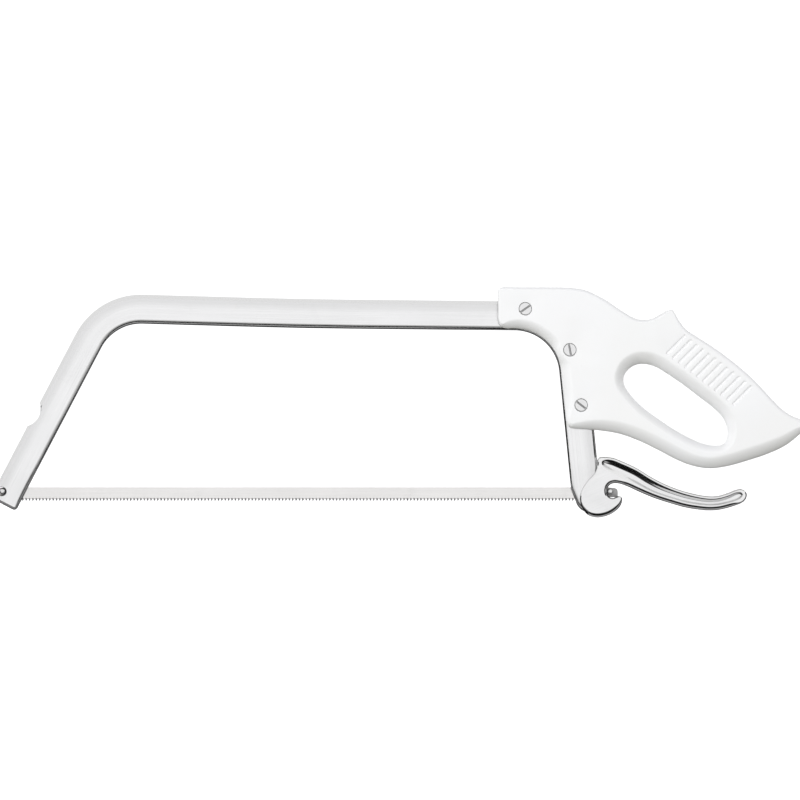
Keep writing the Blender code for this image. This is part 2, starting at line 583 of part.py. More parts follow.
# ---- assembly -----------------------------------------------------------------------
def paint(obj):
    key = next(k for k in COLOURS if obj.name.startswith(k))
    colour, metallic, roughness = COLOURS[key]
    material = bpy.data.materials.new(obj.name)
    material.use_nodes = True
    shader = material.node_tree.nodes["Principled BSDF"]
    shader.inputs["Base Color"].default_value = (*colour, 1.0)
    shader.inputs["Metallic"].default_value = metallic
    shader.inputs["Roughness"].default_value = roughness
    obj.data.materials.clear()
    obj.data.materials.append(material)


def carry(name, pieces, place, parent=None):
    """Empty on a joint's axis that carries the pieces, whose origins move onto it."""
    point = Vector(to_metres(place[0], 0, place[1]))
    axis = bpy.data.objects.new(name, None)
    bpy.context.scene.collection.objects.link(axis)
    axis.location = point
    if parent:
        axis.parent = parent
        axis.location = point - parent.location
    for piece in pieces:
        for obj in [piece, *piece.children]:
            obj.data.transform(Matrix.Translation(-point))
        piece.parent = axis
    return axis


def main():
    for obj in list(bpy.data.objects):
        bpy.data.objects.remove(obj)
    lever, blade = make_lever(), make_blade()
    for obj in [make_bow_frame(), make_handle()] + make_screws() + lever + blade:
        paint(obj)
    lever_axis = carry("lever_axis", lever, PIVOT)
    carry("blade_axis", blade, REAR_PIN, lever_axis)


main()
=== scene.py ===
"""Looks of the butcher's bone saw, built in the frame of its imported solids.

Outlines are in millimetres, in the plane x, z of the saw, and become metres in `to_metres`.
Every piece is a finer model of one solid: rolled edges, dished arm, grooves, set teeth.
Materials and the studio are in metres.
"""

from math import atan2, cos, degrees, hypot, pi, radians, sin, tan

import bmesh
import bpy
import numpy as np
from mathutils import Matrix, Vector
from mathutils.geometry import delaunay_2d_cdt


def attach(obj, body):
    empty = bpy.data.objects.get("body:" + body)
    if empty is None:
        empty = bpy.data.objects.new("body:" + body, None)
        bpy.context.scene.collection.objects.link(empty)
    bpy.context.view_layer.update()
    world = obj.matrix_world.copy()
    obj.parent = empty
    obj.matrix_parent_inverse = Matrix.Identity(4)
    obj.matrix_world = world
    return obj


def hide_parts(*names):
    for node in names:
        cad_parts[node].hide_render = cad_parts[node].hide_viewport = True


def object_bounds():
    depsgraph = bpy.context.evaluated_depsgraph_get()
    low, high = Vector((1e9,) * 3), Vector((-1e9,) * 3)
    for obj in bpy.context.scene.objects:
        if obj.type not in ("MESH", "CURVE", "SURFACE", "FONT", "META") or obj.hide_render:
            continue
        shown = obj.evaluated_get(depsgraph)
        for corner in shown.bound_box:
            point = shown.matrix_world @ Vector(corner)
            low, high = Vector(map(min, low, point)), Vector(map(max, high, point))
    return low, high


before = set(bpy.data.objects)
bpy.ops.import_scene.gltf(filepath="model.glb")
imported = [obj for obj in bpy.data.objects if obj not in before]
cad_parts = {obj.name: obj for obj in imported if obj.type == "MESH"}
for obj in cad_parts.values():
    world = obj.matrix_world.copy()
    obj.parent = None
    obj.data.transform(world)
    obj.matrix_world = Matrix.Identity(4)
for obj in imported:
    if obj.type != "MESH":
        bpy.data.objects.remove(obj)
CAD_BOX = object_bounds()

MM = 0.001

# ---- bow ------------------------------------------------------------------------
BAR_WIDTH = 21.6
BAR_THICK = 5.0
BAR_EDGE = 3.2               # width of the rolled edge, and its depth as a share of that
BAR_EDGE_SHARE = 0.66
BAR_POWER = 1.6
BEND_RADIUS = 44.0
BOW_END_FRONT = (-292.79, -75.1)
BOW_CORNER_FRONT = (-216.5, 70.2)
BOW_TOP_KINK = (-72.6, 66.1)
BOW_CORNER_REAR = (126.2, 64.1)
BOW_KINK_RADIUS = 4000.0
REAR_ARM_LEAN = 0.1
FRONT_CORNER_RADIUS = 2.6
FRONT_EDGE = 2.1
SLOT_WIDTH = 1.5
SLOT_REACH = 16.0
FRONT_SLOT_LENGTH = 36.0
REAR_SLOT_TOP_Z = -56.0
HANG_NOTCH = (-277.6, -4.4, 13.0)
CHAMFER = 0.35               # on the rims of bores and notches

# ---- blade ----------------------------------------------------------------------
PIN_SPACING = 450.0
PIN_RADIUS = 1.9
PIN_HALF_LENGTH = 5.2
PIN_ROUND = 1.1
REAR_PIN = (157.3, -65.65)
FRONT_PIN = (REAR_PIN[0] - PIN_SPACING, REAR_PIN[1])
BLADE_THICK = 0.7
BLADE_TOP_Z = -62.5
TOOTH_ROOT_Z = -71.0
TOOTH_TIP_Z = -72.8
TOOTH_PITCH = 2.5
TOOTH_FIRST_X = -284.0
TOOTH_COUNT = 172
TOOTH_SET = 0.16             # sideways lean of the tips, to either side in turn
TOOTH_SHADE_MIDDLE = 0.36          # the darkest place of a tooth's painted shade, as a share of the pitch
# one tooth as shares of the pitch and of the height: gullet, foot of the face, tip, back
TOOTH = [(0.0, 0.06), (0.16, 0.0), (0.27, 0.93), (0.33, 1.0), (0.62, 0.5), (0.86, 0.1)]
TAB_LENGTH = 5.6
TAB_BOTTOM_Z = -69.9
SEAT_RADIUS = 3.15
SEAT_X = FRONT_PIN[0] - 0.5
SEAT_MOUTH = 30.0

# ---- lever ----------------------------------------------------------------------
PIVOT = (142.64, -70.1)
PIVOT_BEHIND = 3.1
ARM_END_RADIUS = 11.4
ARM_END_STOP = -165.0
SHOULDER_RISE = 6.5
REAR_CORNER_RADIUS = 3.0
LEVER_HALF = 5.8             # half of its thickness
LEVER_EDGE = 1.2             # widths of its rolled edges, above and below
LEVER_LOW_EDGE = 2.8
LEVER_EDGE_SHARE = 1.3
LEVER_POWER = 1.5
CHEEK_GAP_HALF = 2.8
GAP_PIN_RADIUS = 7.8
GAP_BACK = [(118, -34), (147.8, -34), (150.05, -60.5)]
GAP_MOUTH = [(170, REAR_PIN[1]), (170, -95), (118, -95)]
RECESS_DEPTH = 2.3
STUB_RADIUS = 3.0
STUB_ROUND = 0.3
PIVOT_CLEAR = 0.06           # round the stub pins, in the bow
SOCKET_CLEAR = 0.05          # and in the cheeks
STUB_INNER_Y = 1.0
STUB_OUTER_Y = 4.6
LEVER_TOP = [(149.2, -40.3), (153.5, -39.9), (159.5, -40.7), (165.0, -42.8), (176.5, -48.1),
             (186.5, -54.3), (197.0, -59.8), (207.5, -64.0), (218.0, -67.0), (228.5, -68.9),
             (236.0, -68.9), (244.0, -66.7), (249.5, -64.5)]
LEVER_TIP = [(253.8, -63.7), (257.0, -65.2), (258.2, -68.3), (256.9, -71.9), (253.6, -74.4)]
LEVER_LOW = [(248.0, -76.6), (239.0, -79.0), (231.0, -79.7), (223.0, -79.1), (212.5, -77.4),
             (202.5, -74.6), (192.0, -71.3), (184.5, -68.4), (176.5, -64.9), (169.5, -61.7)]
# the hook and the cheeks' round head, up to the neck, with the width of the rolled edge
HOOK = [(164.0, -59.9, 2.4), (160.3, -59.5, 2.5), (157.3, -60.6, 2.8), (155.5, -62.9, 2.9),
        (155.1, -65.6, 2.9), (155.6, -68.3, 2.4), (157.2, -70.1, 1.6), (159.5, -70.6, 1.2),
        (162.0, -69.7, 1.0), (164.2, -69.1, 1.0), (165.6, -69.9, 1.0)]
LEVER_HEAD = [(166.0, -71.6, 1.4), (165.2, -75.3, 2.4), (162.7, -79.2, 3.4), (158.2, -82.8, 3.8),
              (152.6, -85.0, 3.9), (146.6, -85.5, 3.8), (141.3, -83.7, 3.2), (137.5, -79.5, 2.0),
              (135.3, -75.2, 1.3), (134.6, -70.9, 1.2), (135.2, -67.0, 1.2), (136.7, -63.4, 1.2),
              (138.9, -59.7, 1.2), (141.2, -56.7, 1.2), (143.7, -54.2, 1.2), (146.0, -51.2, 1.2),
              (147.4, -47.0, 1.2), (147.9, -42.4, 1.2)]
# the dish in the arm, clockwise from the neck, with the width of its sloping wall
RECESS = [(151.0, -43.6, 1.6), (154.0, -42.3, 3.0), (159.0, -42.8, 3.6), (164.3, -44.9, 3.6),
          (176.0, -50.2, 3.6), (186.0, -56.4, 3.5), (196.5, -61.9, 3.3), (207.5, -66.2, 3.0),
          (218.0, -69.2, 2.7), (228.5, -71.1, 2.4), (236.3, -71.0, 2.2), (244.5, -68.8, 1.9),
          (250.0, -66.6, 1.5), (253.4, -66.4, 1.1), (255.0, -68.3, 1.1), (253.2, -70.7, 1.1),
          (247.5, -73.1, 1.1), (239.0, -75.2, 1.1), (231.0, -75.9, 1.1), (223.0, -75.3, 1.1),
          (212.5, -73.5, 1.1), (202.5, -70.7, 1.1), (192.0, -67.4, 1.2), (184.5, -64.3, 1.6),
          (175.0, -59.6, 2.6), (163.0, -54.0, 4.0), (152.0, -47.2, 2.4)]

# ---- handle ---------------------------------------------------------------------
HANDLE_HALF = 13.0           # half of its thickness
BAR_PROUD = 1.4              # of the bar shows in front of the handle's front edge
SLOT_CLEAR = 0.3
FOLLOW_X = 82.0              # its front edge follows the bar behind this place
FOLLOW_Z = -5.0              # and above this one
FRONT_EDGE_WIDTH = 7.0
SINK_ROOM = 0.9              # least flat ground between a counterbore and the rounded edge
SEAM_DEPTH = 0.22            # parting line round the moulding
SEAM_HALF = 0.28
HANDLE_POWER = 1.4
HAND_HOLE_SHARE = 1.34       # the hand hole's rim is deeper than it is wide
# outlines of x, z and the width of the rounded edge: back and underside, then foot and lead
HANDLE_TOP = [(74.2, 81.0, 1.3), (74.7, 84.2, 1.3), (77.0, 85.18, 1.6), (90.0, 85.25, 2.2),
              (110.0, 85.26, 2.3), (127.0, 84.9, 2.3), (138.0, 83.2, 2.3), (146.0, 79.9, 2.3),
              (155.0, 74.8, 2.3), (166.0, 67.4, 2.3), (174.5, 62.6, 2.3), (182.0, 61.1, 2.2),
              (189.5, 62.8, 2.0), (196.0, 66.3, 1.6), (200.3, 68.6, 1.2), (202.5, 68.5, 0.9),
              (204.3, 66.2, 1.2), (207.8, 60.2, 1.8), (213.0, 53.9, 2.2), (221.0, 48.6, 2.3),
              (234.0, 40.2, 2.3), (248.5, 29.4, 2.3), (262.0, 17.7, 2.3), (274.5, 4.4, 2.3),
              (283.5, -4.8, 2.3), (290.5, -9.4, 2.2), (297.3, -12.3, 2.0), (300.2, -14.2, 2.0),
              (301.4, -16.9, 3.0), (300.4, -19.9, 4.4), (296.8, -23.4, 6.0), (287.5, -31.0, 8.5),
              (275.0, -37.2, 9.5), (258.5, -42.8, 9.5), (243.0, -47.0, 9.0), (230.0, -48.4, 8.5),
              (218.0, -46.5, 8.5), (206.0, -41.8, 9.0), (193.5, -35.2, 9.0), (178.5, -28.0, 9.0),
              (164.0, -22.9, 9.0), (151.5, -20.7, 8.6), (142.0, -19.8, 7.4), (134.0, -19.2, 5.4)]
HANDLE_FOOT = [(3.2, -18.4, 3.8), (1.0, -16.6, 3.0), (0.1, -13.6, 3.0), (0.0, -9.0, 3.8)]
HANDLE_LEAD = [(79.2, 0.1, 5.0), (76.0, 1.6, 2.6), (74.4, 5.0, 1.5), (74.1, 14.0, 1.3)]
HAND_HOLE = [(167.2, 14.5, 7.0), (167.6, 20.0, 8.0), (171.3, 25.2, 8.9), (177.0, 28.3, 9.4),
             (184.0, 28.6, 9.4), (191.0, 26.6, 8.8), (199.5, 21.6, 8.2), (210.5, 14.2, 8.2),
             (222.0, 5.4, 8.2), (233.5, -3.5, 8.0), (240.4, -10.4, 7.0), (244.0, -18.6, 6.0),
             (244.1, -26.0, 5.0), (241.0, -30.6, 5.0), (234.5, -31.6, 5.5), (224.0, -29.4, 6.0),
             (209.0, -22.3, 6.0), (194.0, -12.8, 6.0), (181.0, -3.2, 6.0), (171.5, 6.8, 6.0)]
HANDLE_START_X = 60.0        # the bar's slot is cut from here on
SLOT_OPEN = 12.0             # and reaches this far past the bar's inner edge
GROOVE_COUNT = 12
GROOVE_FIRST = (205.25, 42.75)
GROOVE_LAST = (254.15, 5.45)
GROOVE_LENGTH = 20.4
GROOVE_WIDTH = 2.9
GROOVE_DEPTH = 1.2
GROOVE_RAKE = 45.0
# x, z and the angle of the driving slot
SCREWS = {"top": (94.0, 69.4, 35.0), "middle": (126.9, 39.1, -79.0),
          "bottom": (135.2, -1.7, -38.0)}
NUT_TWIST = 55.0             # a nut's slot is turned by this from its screw's
SCREW_HEAD_RADIUS = 4.7
SCREW_HEAD_DEPTH = 4.0
SCREW_SHANK_RADIUS = 2.5
SCREW_SHANK_END = -7.0
SLEEVE_RADIUS = 4.0
SLEEVE_MOUTH_Y = 3.1
SLEEVE_FLOOR_Y = 8.0
HEAD_ROUND = 0.55
SCREW_SUNK = 0.25
SINK_GAP = 0.18
SINK_LIP = 0.2
DRIVE_SLOT_WIDTH = 1.35
DRIVE_SLOT_DEPTH = 2.0
FIT_GAP = 0.3

# ---- studio, in metres ----------------------------------------------------------
FLOOR_DROP = 0.3             # below the saw
CAMERA_DISTANCE = 3.0
VIEW_WIDTH = 0.5928          # just less than the saw, whose ends run out of the frame
VIEW_CENTRE = (0.0015, 0.0021)
BOW_SIDE, LEVER_SIDE = (-1.6, 0.05), (0.05, 1.6)
STRIP_Z, SHEET_Z, OVERHEAD_Z = -0.24, -0.245, 0.5
# tone and two opposite corners
CLOTHS = [("black", (BOW_SIDE[0], -0.42, STRIP_Z), (BOW_SIDE[1], -0.2, STRIP_Z)),
          ("black", (BOW_SIDE[0], -0.07, STRIP_Z), (BOW_SIDE[1], 0.5, STRIP_Z)),
          ("black", (LEVER_SIDE[0], -0.27, STRIP_Z), (LEVER_SIDE[1], 0.0, STRIP_Z)),
          ("black", (LEVER_SIDE[0], 0.11, STRIP_Z), (LEVER_SIDE[1], 0.45, STRIP_Z)),
          ("grey", (BOW_SIDE[0], -0.6, SHEET_Z), (LEVER_SIDE[1], 0.6, SHEET_Z)),
          ("black", (-1.0, -0.75, -0.6), (-1.0, 0.75, 0.1)),
          ("black", (1.0, -0.75, -0.6), (1.0, 0.75, 0.35)),
          ("white", (-1.8, -1.5, OVERHEAD_Z), (1.8, 1.2, OVERHEAD_Z))]


# ---- plane geometry ---------------------------------------------------------------
def arc(centre, radius, start, end, steps):
    """Points on a circle from start to end, in degrees anticlockwise from +X."""
    return [(centre[0] + radius * cos(radians(start + (end - start) * i / steps)),
             centre[1] + radius * sin(radians(start + (end - start) * i / steps)))
            for i in range(steps + 1)]


def filleted(corners, step):
    """Open path through corners (x, z, radius), each corner turned into an arc."""
    path = [corners[0][:2]]
    for before, (x, z, radius), after in zip(corners, corners[1:], corners[2:]):
        ax, az = before[0] - x, before[1] - z
        bx, bz = after[0] - x, after[1] - z
        la, lb = hypot(ax, az), hypot(bx, bz)
        ax, az, bx, bz = ax / la, az / la, bx / lb, bz / lb
        turn = pi - atan2(abs(ax * bz - az * bx), ax * bx + az * bz)
        reach = radius * tan(turn / 2)
        mx, mz = ax + bx, az + bz
        lm = hypot(mx, mz)
        far = radius / cos(turn / 2)
        cx, cz = x + mx / lm * far, z + mz / lm * far
        first = atan2(z + az * reach - cz, x + ax * reach - cx)
        last = atan2(z + bz * reach - cz, x + bx * reach - cx)
        sweep = (last - first + pi) % (2 * pi) - pi
        count = max(2, round(abs(sweep) / step))
        path += arc((cx, cz), radius, degrees(first), degrees(first + sweep), count)
    return path + [corners[-1][:2]]


def spaced(path, gap):
    """Path with its long straight stretches divided into steps of about `gap`."""
    made = []
    for a, b in zip(path, path[1:]):
        count = max(1, round(hypot(b[0] - a[0], b[1] - a[1]) / gap))
        made += [tuple(p + (q - p) * i / count for p, q in zip(a, b)) for i in range(count)]
    return made + [path[-1]]


def offset_path(path, distance):
    """Path moved sideways: positive is to the left of its direction."""
    moved = []
    for i, (x, z) in enumerate(path):
        x0, z0 = path[max(i - 1, 0)]
        x1, z1 = path[min(i + 1, len(path) - 1)]
        length = hypot(x1 - x0, z1 - z0)
        moved.append((x - (z1 - z0) / length * distance, z + (x1 - x0) / length * distance))
    return moved


def smooth(points, per_span):
    """Closed centripetal Catmull-Rom curve through points of any number of coordinates."""
    count = len(points)
    curve = []
    for i in range(count):
        p = [points[(i + k) % count] for k in (-1, 0, 1, 2)]
        knots = [0.0]
        for a, b in zip(p, p[1:]):
            knots.append(knots[-1] + max(hypot(b[0] - a[0], b[1] - a[1]), 1e-6) ** 0.5)
        for s in range(per_span):
            t = knots[1] + (knots[2] - knots[1]) * s / per_span
            level = list(p)
            for depth in (1, 2, 3):
                nxt = []
                for j in range(len(level) - 1):
                    lo = knots[j] if depth < 3 else knots[1]
                    hi = knots[j + depth] if depth < 3 else knots[2]
                    f = (t - lo) / (hi - lo)
                    nxt.append(tuple(a + (b - a) * f for a, b in zip(level[j], level[j + 1])))
                level = nxt
            curve.append(level[0])
    return curve


def signed_area(loop):
    return sum(a[0] * b[1] - b[0] * a[1] for a, b in zip(loop, loop[1:] + loop[:1])) / 2


def inset(loop, into_left, share):
    """Loop moved to its left (or right) by `share` of each point's own width."""
    moved = []
    count = len(loop)
    for i, (x, z, width) in enumerate(loop):
        x0, z0 = loop[i - 1][:2]
        x1, z1 = loop[(i + 1) % count][:2]
        length = hypot(x1 - x0, z1 - z0)
        side = width * share * (1 if into_left else -1)
        moved.append((x - (z1 - z0) / length * side, z + (x1 - x0) / length * side))
    return moved


def safe_widths(loop, into_left, keep=0.9):
    """Loop whose widths are small enough that it can be inset by them without a fold."""
    count = len(loop)
    flat = [Vector(p[:2]) for p in loop]
    widths = []
    for i, point in enumerate(flat):
        along = flat[(i + 1) % count] - flat[i - 1]
        side = Vector((-along.y, along.x)).normalized() * (1 if into_left else -1)
        limit = loop[i][2] / keep
        for other in flat:
            away = other - point
            toward = away.dot(side)
            if toward > 1e-6:
                limit = min(limit, away.length_squared / (2 * toward))
        widths.append(limit * keep)
    for _ in range(14):
        means = [(widths[i - 1] + 2 * widths[i] + widths[(i + 1) % count]) / 4
                 for i in range(count)]
        widths = [min(a, b) for a, b in zip(widths, means)]
    return [(*p[:2], width) for p, width in zip(loop, widths)]


def stadium(cx, cz, length, width, angle, steps=8):
    """Long hole's outline with round ends, centred at cx, cz."""
    reach, c, s = (length - width) / 2, cos(radians(angle)), sin(radians(angle))
    right = (cx + reach * c, cz + reach * s)
    left = (cx - reach * c, cz - reach * s)
    return arc(right, width / 2, angle - 90, angle + 90, steps) + \
        arc(left, width / 2, angle + 90, angle + 270, steps)


def bar_path(step, gap):
    """Centreline of the bow from its front end to the foot of its rear arm."""
    foot = (PIVOT[0] - PIVOT_BEHIND, PIVOT[1])
    corners = [(*BOW_END_FRONT, 0), (*BOW_CORNER_FRONT, BEND_RADIUS),
               (*BOW_TOP_KINK, BOW_KINK_RADIUS), (*BOW_CORNER_REAR, BEND_RADIUS), (*foot, 0)]
    return spaced(filleted(corners, step), gap)


# ---- solids -------------------------------------------------------------------------
def to_metres(x, y, z):
    return (x * MM, y * MM, z * MM)


def link(name, bm):
    """New object from a bmesh, shaded smooth between its sharp edges."""
    mesh = bpy.data.meshes.new(name)
    bmesh.ops.recalc_face_normals(bm, faces=bm.faces)
    bm.to_mesh(mesh)
    bm.free()
    obj = bpy.data.objects.new(name, mesh)
    bpy.context.scene.collection.objects.link(obj)
    return shaded(obj)


def shaded(obj, angle=35.0):
    obj.data.shade_smooth()
    obj.data.set_sharp_from_angle(angle=radians(angle))
    return obj


def bridge(bm, a, b):
    """Band of quads between two closed rings."""
    for i in range(len(a)):
        k = (i + 1) % len(a)
        bm.faces.new((a[i], a[k], b[k], b[i]))


def fill(bm, rings):
    """Triangles over the flat region that lies inside an odd number of closed rings."""
    verts = [vert for ring in rings for vert in ring]
    points = [Vector((vert.co.x, vert.co.z)) / MM for vert in verts]
    edges, first = [], 0
    for ring in rings:
        edges += [(first + i, first + (i + 1) % len(ring)) for i in range(len(ring))]
        first += len(ring)
    x0, z0, x1, z1 = np.array([(*points[a], *points[b]) for a, b in edges]).T
    made = delaunay_2d_cdt(points, edges, [], 1, 1e-7)
    for face in made[2]:
        corners = [made[3][i][0] for i in face]
        x, z = sum((points[i] for i in corners), Vector((0, 0))) / 3
        spans = (z0 > z) != (z1 > z)
        with np.errstate(divide="ignore", invalid="ignore"):
            right = spans & (x < x0 + (x1 - x0) * (z - z0) / (z1 - z0))
        if right.sum() % 2:
            bm.faces.new([verts[i] for i in corners])


def prism(name, outline, y0, y1):
    """Straight extrusion of an x, z outline between two y planes."""
    bm = bmesh.new()
    near = [bm.verts.new(to_metres(x, y0, z)) for x, z in outline]
    far = [bm.verts.new(to_metres(x, y1, z)) for x, z in outline]
    bm.faces.new(near)
    bm.faces.new(far)
    bridge(bm, near, far)
    return link(name, bm)


def flared(name, outline, half):
    """Cutter right through a plate of thickness 2*half that also chamfers both rims."""
    loop = [(x, z, 1.0) for x, z in outline]
    out = signed_area(outline) < 0
    bm = bmesh.new()
    rings = []
    for y, wide in ((-half - 1, 1 + CHAMFER), (CHAMFER - half, 0), (half - CHAMFER, 0),
                    (half + 1, 1 + CHAMFER)):
        rings.append([bm.verts.new(to_metres(x, y, z)) for x, z in inset(loop, out, wide)])
    for a, b in zip(rings, rings[1:]):
        bridge(bm, a, b)
    bm.faces.new(rings[0])
    bm.faces.new(rings[-1])
    return link(name, bm)


def plate(name, outer, holes, pockets, half, depth_share=1.0, steps=8, seam=False, power=2.0,
          bore_share=1.0):
    """Plate of thickness 2*half with rounded rims.

    Each point of outer and of a hole has its own width of rounding, which follows a
    superellipse: power 2 is round, and less comes nearer to a chamfer. Its depth is a share
    of its width, and bore_share times more on the holes. A pocket is a list
    of rings (outline, depth) from its rim on the face to its floor, sunk into both faces.
    """
    bm = bmesh.new()
    borders = ([], [])
    for number, loop in enumerate([outer] + holes):
        left = (signed_area([p[:2] for p in loop]) > 0) == (number == 0)
        loop = safe_widths(loop, left)
        deep = depth_share * (bore_share if number else 1.0)
        shares = [(1.08, 0.0)] + [(1 - sin(pi / 2 * j / steps) ** (2 / power),
                                   1 - max(cos(pi / 2 * j / steps), 0) ** (2 / power))
                                  for j in range(steps + 1)]
        sides = []
        for side in (-1, 1):
            rings = [[bm.verts.new(to_metres(x, side * (half - point[2] * deep * drop), z))
                      for (x, z), point in zip(inset(loop, left, share), loop)]
                     for share, drop in shares]
            sides.append(rings)
        near, far = sides
        middle = []
        if seam:
            notch = [(*p[:2], SEAM_DEPTH) for p in loop]
            middle = [[bm.verts.new(to_metres(x, y, z)) for x, z in inset(notch, left, share)]
                      for y, share in ((-SEAM_HALF, 0), (0, 1), (SEAM_HALF, 0))]
        order = near + middle + far[::-1]
        for a, b in zip(order, order[1:]):
            bridge(bm, a, b)
        borders[0].append(near[0])
        borders[1].append(far[0])
    for pocket in pockets:
        for side, border in ((-1, borders[0]), (1, borders[1])):
            rings = [[bm.verts.new(to_metres(x, side * (half - depth), z)) for x, z in outline]
                     for outline, depth in pocket]
            for a, b in zip(rings, rings[1:]):
                bridge(bm, a, b)
            fill(bm, rings[-1:])
            border.append(rings[0])
    for border in borders:
        fill(bm, border)
    return link(name, bm)


def cut(target, cutters):
    """Take the cutters away from the target with exact booleans, and apply them."""
    for cutter in cutters:
        modifier = target.modifiers.new("cut", "BOOLEAN")
        modifier.operation = "DIFFERENCE"
        modifier.solver = "EXACT"
        modifier.object = cutter
    graph = bpy.context.evaluated_depsgraph_get()
    mesh = bpy.data.meshes.new_from_object(target.evaluated_get(graph))
    target.modifiers.clear()
    target.data = mesh
    for cutter in cutters:
        bpy.data.objects.remove(cutter)
    return shaded(target)


def joined(name, parts):
    """One solid made of several separate ones."""
    bm = bmesh.new()
    for part in parts:
        bm.from_mesh(part.data)
        bpy.data.objects.remove(part)
    return link(name, bm)


def rounded(radius, y, size):
    """Corner of a turned profile, rounded from the face at y down to the radius."""
    return [(radius - size * (1 - sin(t)), y - size * (1 - cos(t)))
            for t in [pi / 2 * j / 5 for j in range(6)]]


def turn(name, profile, side, sides=64):
    """Turned solid about its own Y axis: profile is (radius, y)."""
    bm = bmesh.new()
    rings = []
    for radius, y in profile:
        if radius == 0:
            rings.append([bm.verts.new(to_metres(0, side * y, 0))])
        else:
            rings.append([bm.verts.new(to_metres(px, side * y, pz))
                          for px, pz in arc((0, 0), radius, 0, 360, sides)[:-1]])
    for a, b in zip(rings, rings[1:]):
        for i in range(sides):
            j = (i + 1) % sides
            quad = [a[i % len(a)], a[j % len(a)], b[j % len(b)], b[i % len(b)]]
            bm.faces.new(list(dict.fromkeys(quad)))
    return link(name, bm)


# ---- bow ------------------------------------------------------------------------------
def front_end(outer, inner):
    return filleted([(*outer[1], 0), (*outer[0], FRONT_CORNER_RADIUS),
                     (*inner[0], FRONT_CORNER_RADIUS), (*inner[1], 0)], 0.16)[1:-1]


def rear_end():
    """Foot of the rear arm: its shoulder, an arc about the pivot, a corner at its rear edge."""
    lean = hypot(REAR_ARM_LEAN, 1)
    right = BAR_WIDTH / 2 - PIVOT_BEHIND / lean
    left = BAR_WIDTH / 2 + PIVOT_BEHIND / lean
    shoulder = (PIVOT[0] - left * lean - REAR_ARM_LEAN * SHOULDER_RISE, PIVOT[1] + SHOULDER_RISE)
    tilt = atan2(REAR_ARM_LEAN, 1)
    across, reach = right - REAR_CORNER_RADIUS, ARM_END_RADIUS - REAR_CORNER_RADIUS
    start = -atan2((reach ** 2 - across ** 2) ** 0.5, across) - tilt
    centre = (PIVOT[0] + reach * cos(start), PIVOT[1] + reach * sin(start))
    return [shoulder] + arc(PIVOT, ARM_END_RADIUS, ARM_END_STOP, degrees(start), 30)[:-1] + \
        arc(centre, REAR_CORNER_RADIUS, degrees(start), -degrees(tilt), 10)


def saw_slots():
    """Cuts in both ends of the bow that take the blade."""
    ux, uz = BOW_CORNER_FRONT[0] - BOW_END_FRONT[0], BOW_CORNER_FRONT[1] - BOW_END_FRONT[1]
    length = hypot(ux, uz)
    ux, uz = ux / length, uz / length
    box = ((-SLOT_REACH / 2, -SLOT_REACH), (FRONT_SLOT_LENGTH, -SLOT_REACH),
           (FRONT_SLOT_LENGTH, SLOT_REACH), (-SLOT_REACH / 2, SLOT_REACH))
    front = [(BOW_END_FRONT[0] + ux * a + uz * b, BOW_END_FRONT[1] + uz * a - ux * b)
             for a, b in box]
    reach = SLOT_REACH + ARM_END_RADIUS
    left, right, low = PIVOT[0] - reach, PIVOT[0] + reach, PIVOT[1] - reach
    rear = [(left, REAR_SLOT_TOP_Z), (right, REAR_SLOT_TOP_Z), (right, low), (left, low)]
    half = SLOT_WIDTH / 2
    return [prism("front_slot", front, -half, half), prism("rear_slot", rear, -half, half)]


def make_bow():
    path = bar_path(0.03, 4.0)
    inner = offset_path(path, -BAR_WIDTH / 2)
    outer = offset_path(path, BAR_WIDTH / 2)
    rear = rear_end()
    outline = [(x, z) for x, z in inner[1:-1] if x < 0 or z > rear[0][1] + 1]
    outline += rear + outer[-2:0:-1]
    loop = [(*point, FRONT_EDGE) for point in front_end(outer, inner)]
    loop += [(*point, BAR_EDGE) for point in outline]
    bow = plate("bow", loop, [], [], BAR_THICK / 2, BAR_EDGE_SHARE, power=BAR_POWER)
    top, low = FRONT_PIN[1] + SEAT_RADIUS, FRONT_PIN[1] - SEAT_RADIUS
    seat = arc((SEAT_X, FRONT_PIN[1]), SEAT_RADIUS, 90, -90, 20)
    seat += [(SEAT_X - SEAT_MOUTH, low), (SEAT_X - SEAT_MOUTH, top)]
    x, z, radius = HANG_NOTCH
    pivot_bore = arc(PIVOT, STUB_RADIUS + PIVOT_CLEAR, 0, 360, 40)[:-1]
    cutters = [flared("pin_seat", seat, BAR_THICK / 2),
               flared("hang_notch", arc((x, z), radius, 0, 360, 96)[:-1], BAR_THICK / 2),
               flared("pivot_bore", pivot_bore, BAR_THICK / 2)]
    for x, z, _ in SCREWS.values():
        bore = arc((x, z), SCREW_SHANK_RADIUS + FIT_GAP, 0, 360, 32)[:-1]
        cutters.append(flared("screw_bore", bore, BAR_THICK / 2))
    cut(bow, [joined("notches", cutters)] + saw_slots())
    grain_along(bow, path)
    return bow


def grain_along(obj, path):
    """Vector attribute `grain` with each point's place along and across a path."""
    runs = [(Vector((x, z)), Vector((u - x, v - z))) for (x, z), (u, v) in zip(path, path[1:])]
    starts = [0.0]
    for _, step in runs:
        starts.append(starts[-1] + step.length)
    attribute = obj.data.attributes.new("grain", "FLOAT_VECTOR", "POINT")
    for vertex, item in zip(obj.data.vertices, attribute.data):
        point = Vector((vertex.co.x, vertex.co.z)) / MM
        best = None
        for (start, step), before in zip(runs, starts):
            share = min(1.0, max(0.0, (point - start).dot(step) / step.length_squared))
            gap = point - start - step * share
            if best is None or gap.length_squared < best[0]:
                side = 1 if step.cross(gap) > 0 else -1
                best = (gap.length_squared, before + step.length * share, side * gap.length)
        item.vector = (best[1] * MM, best[2] * MM, vertex.co.y)


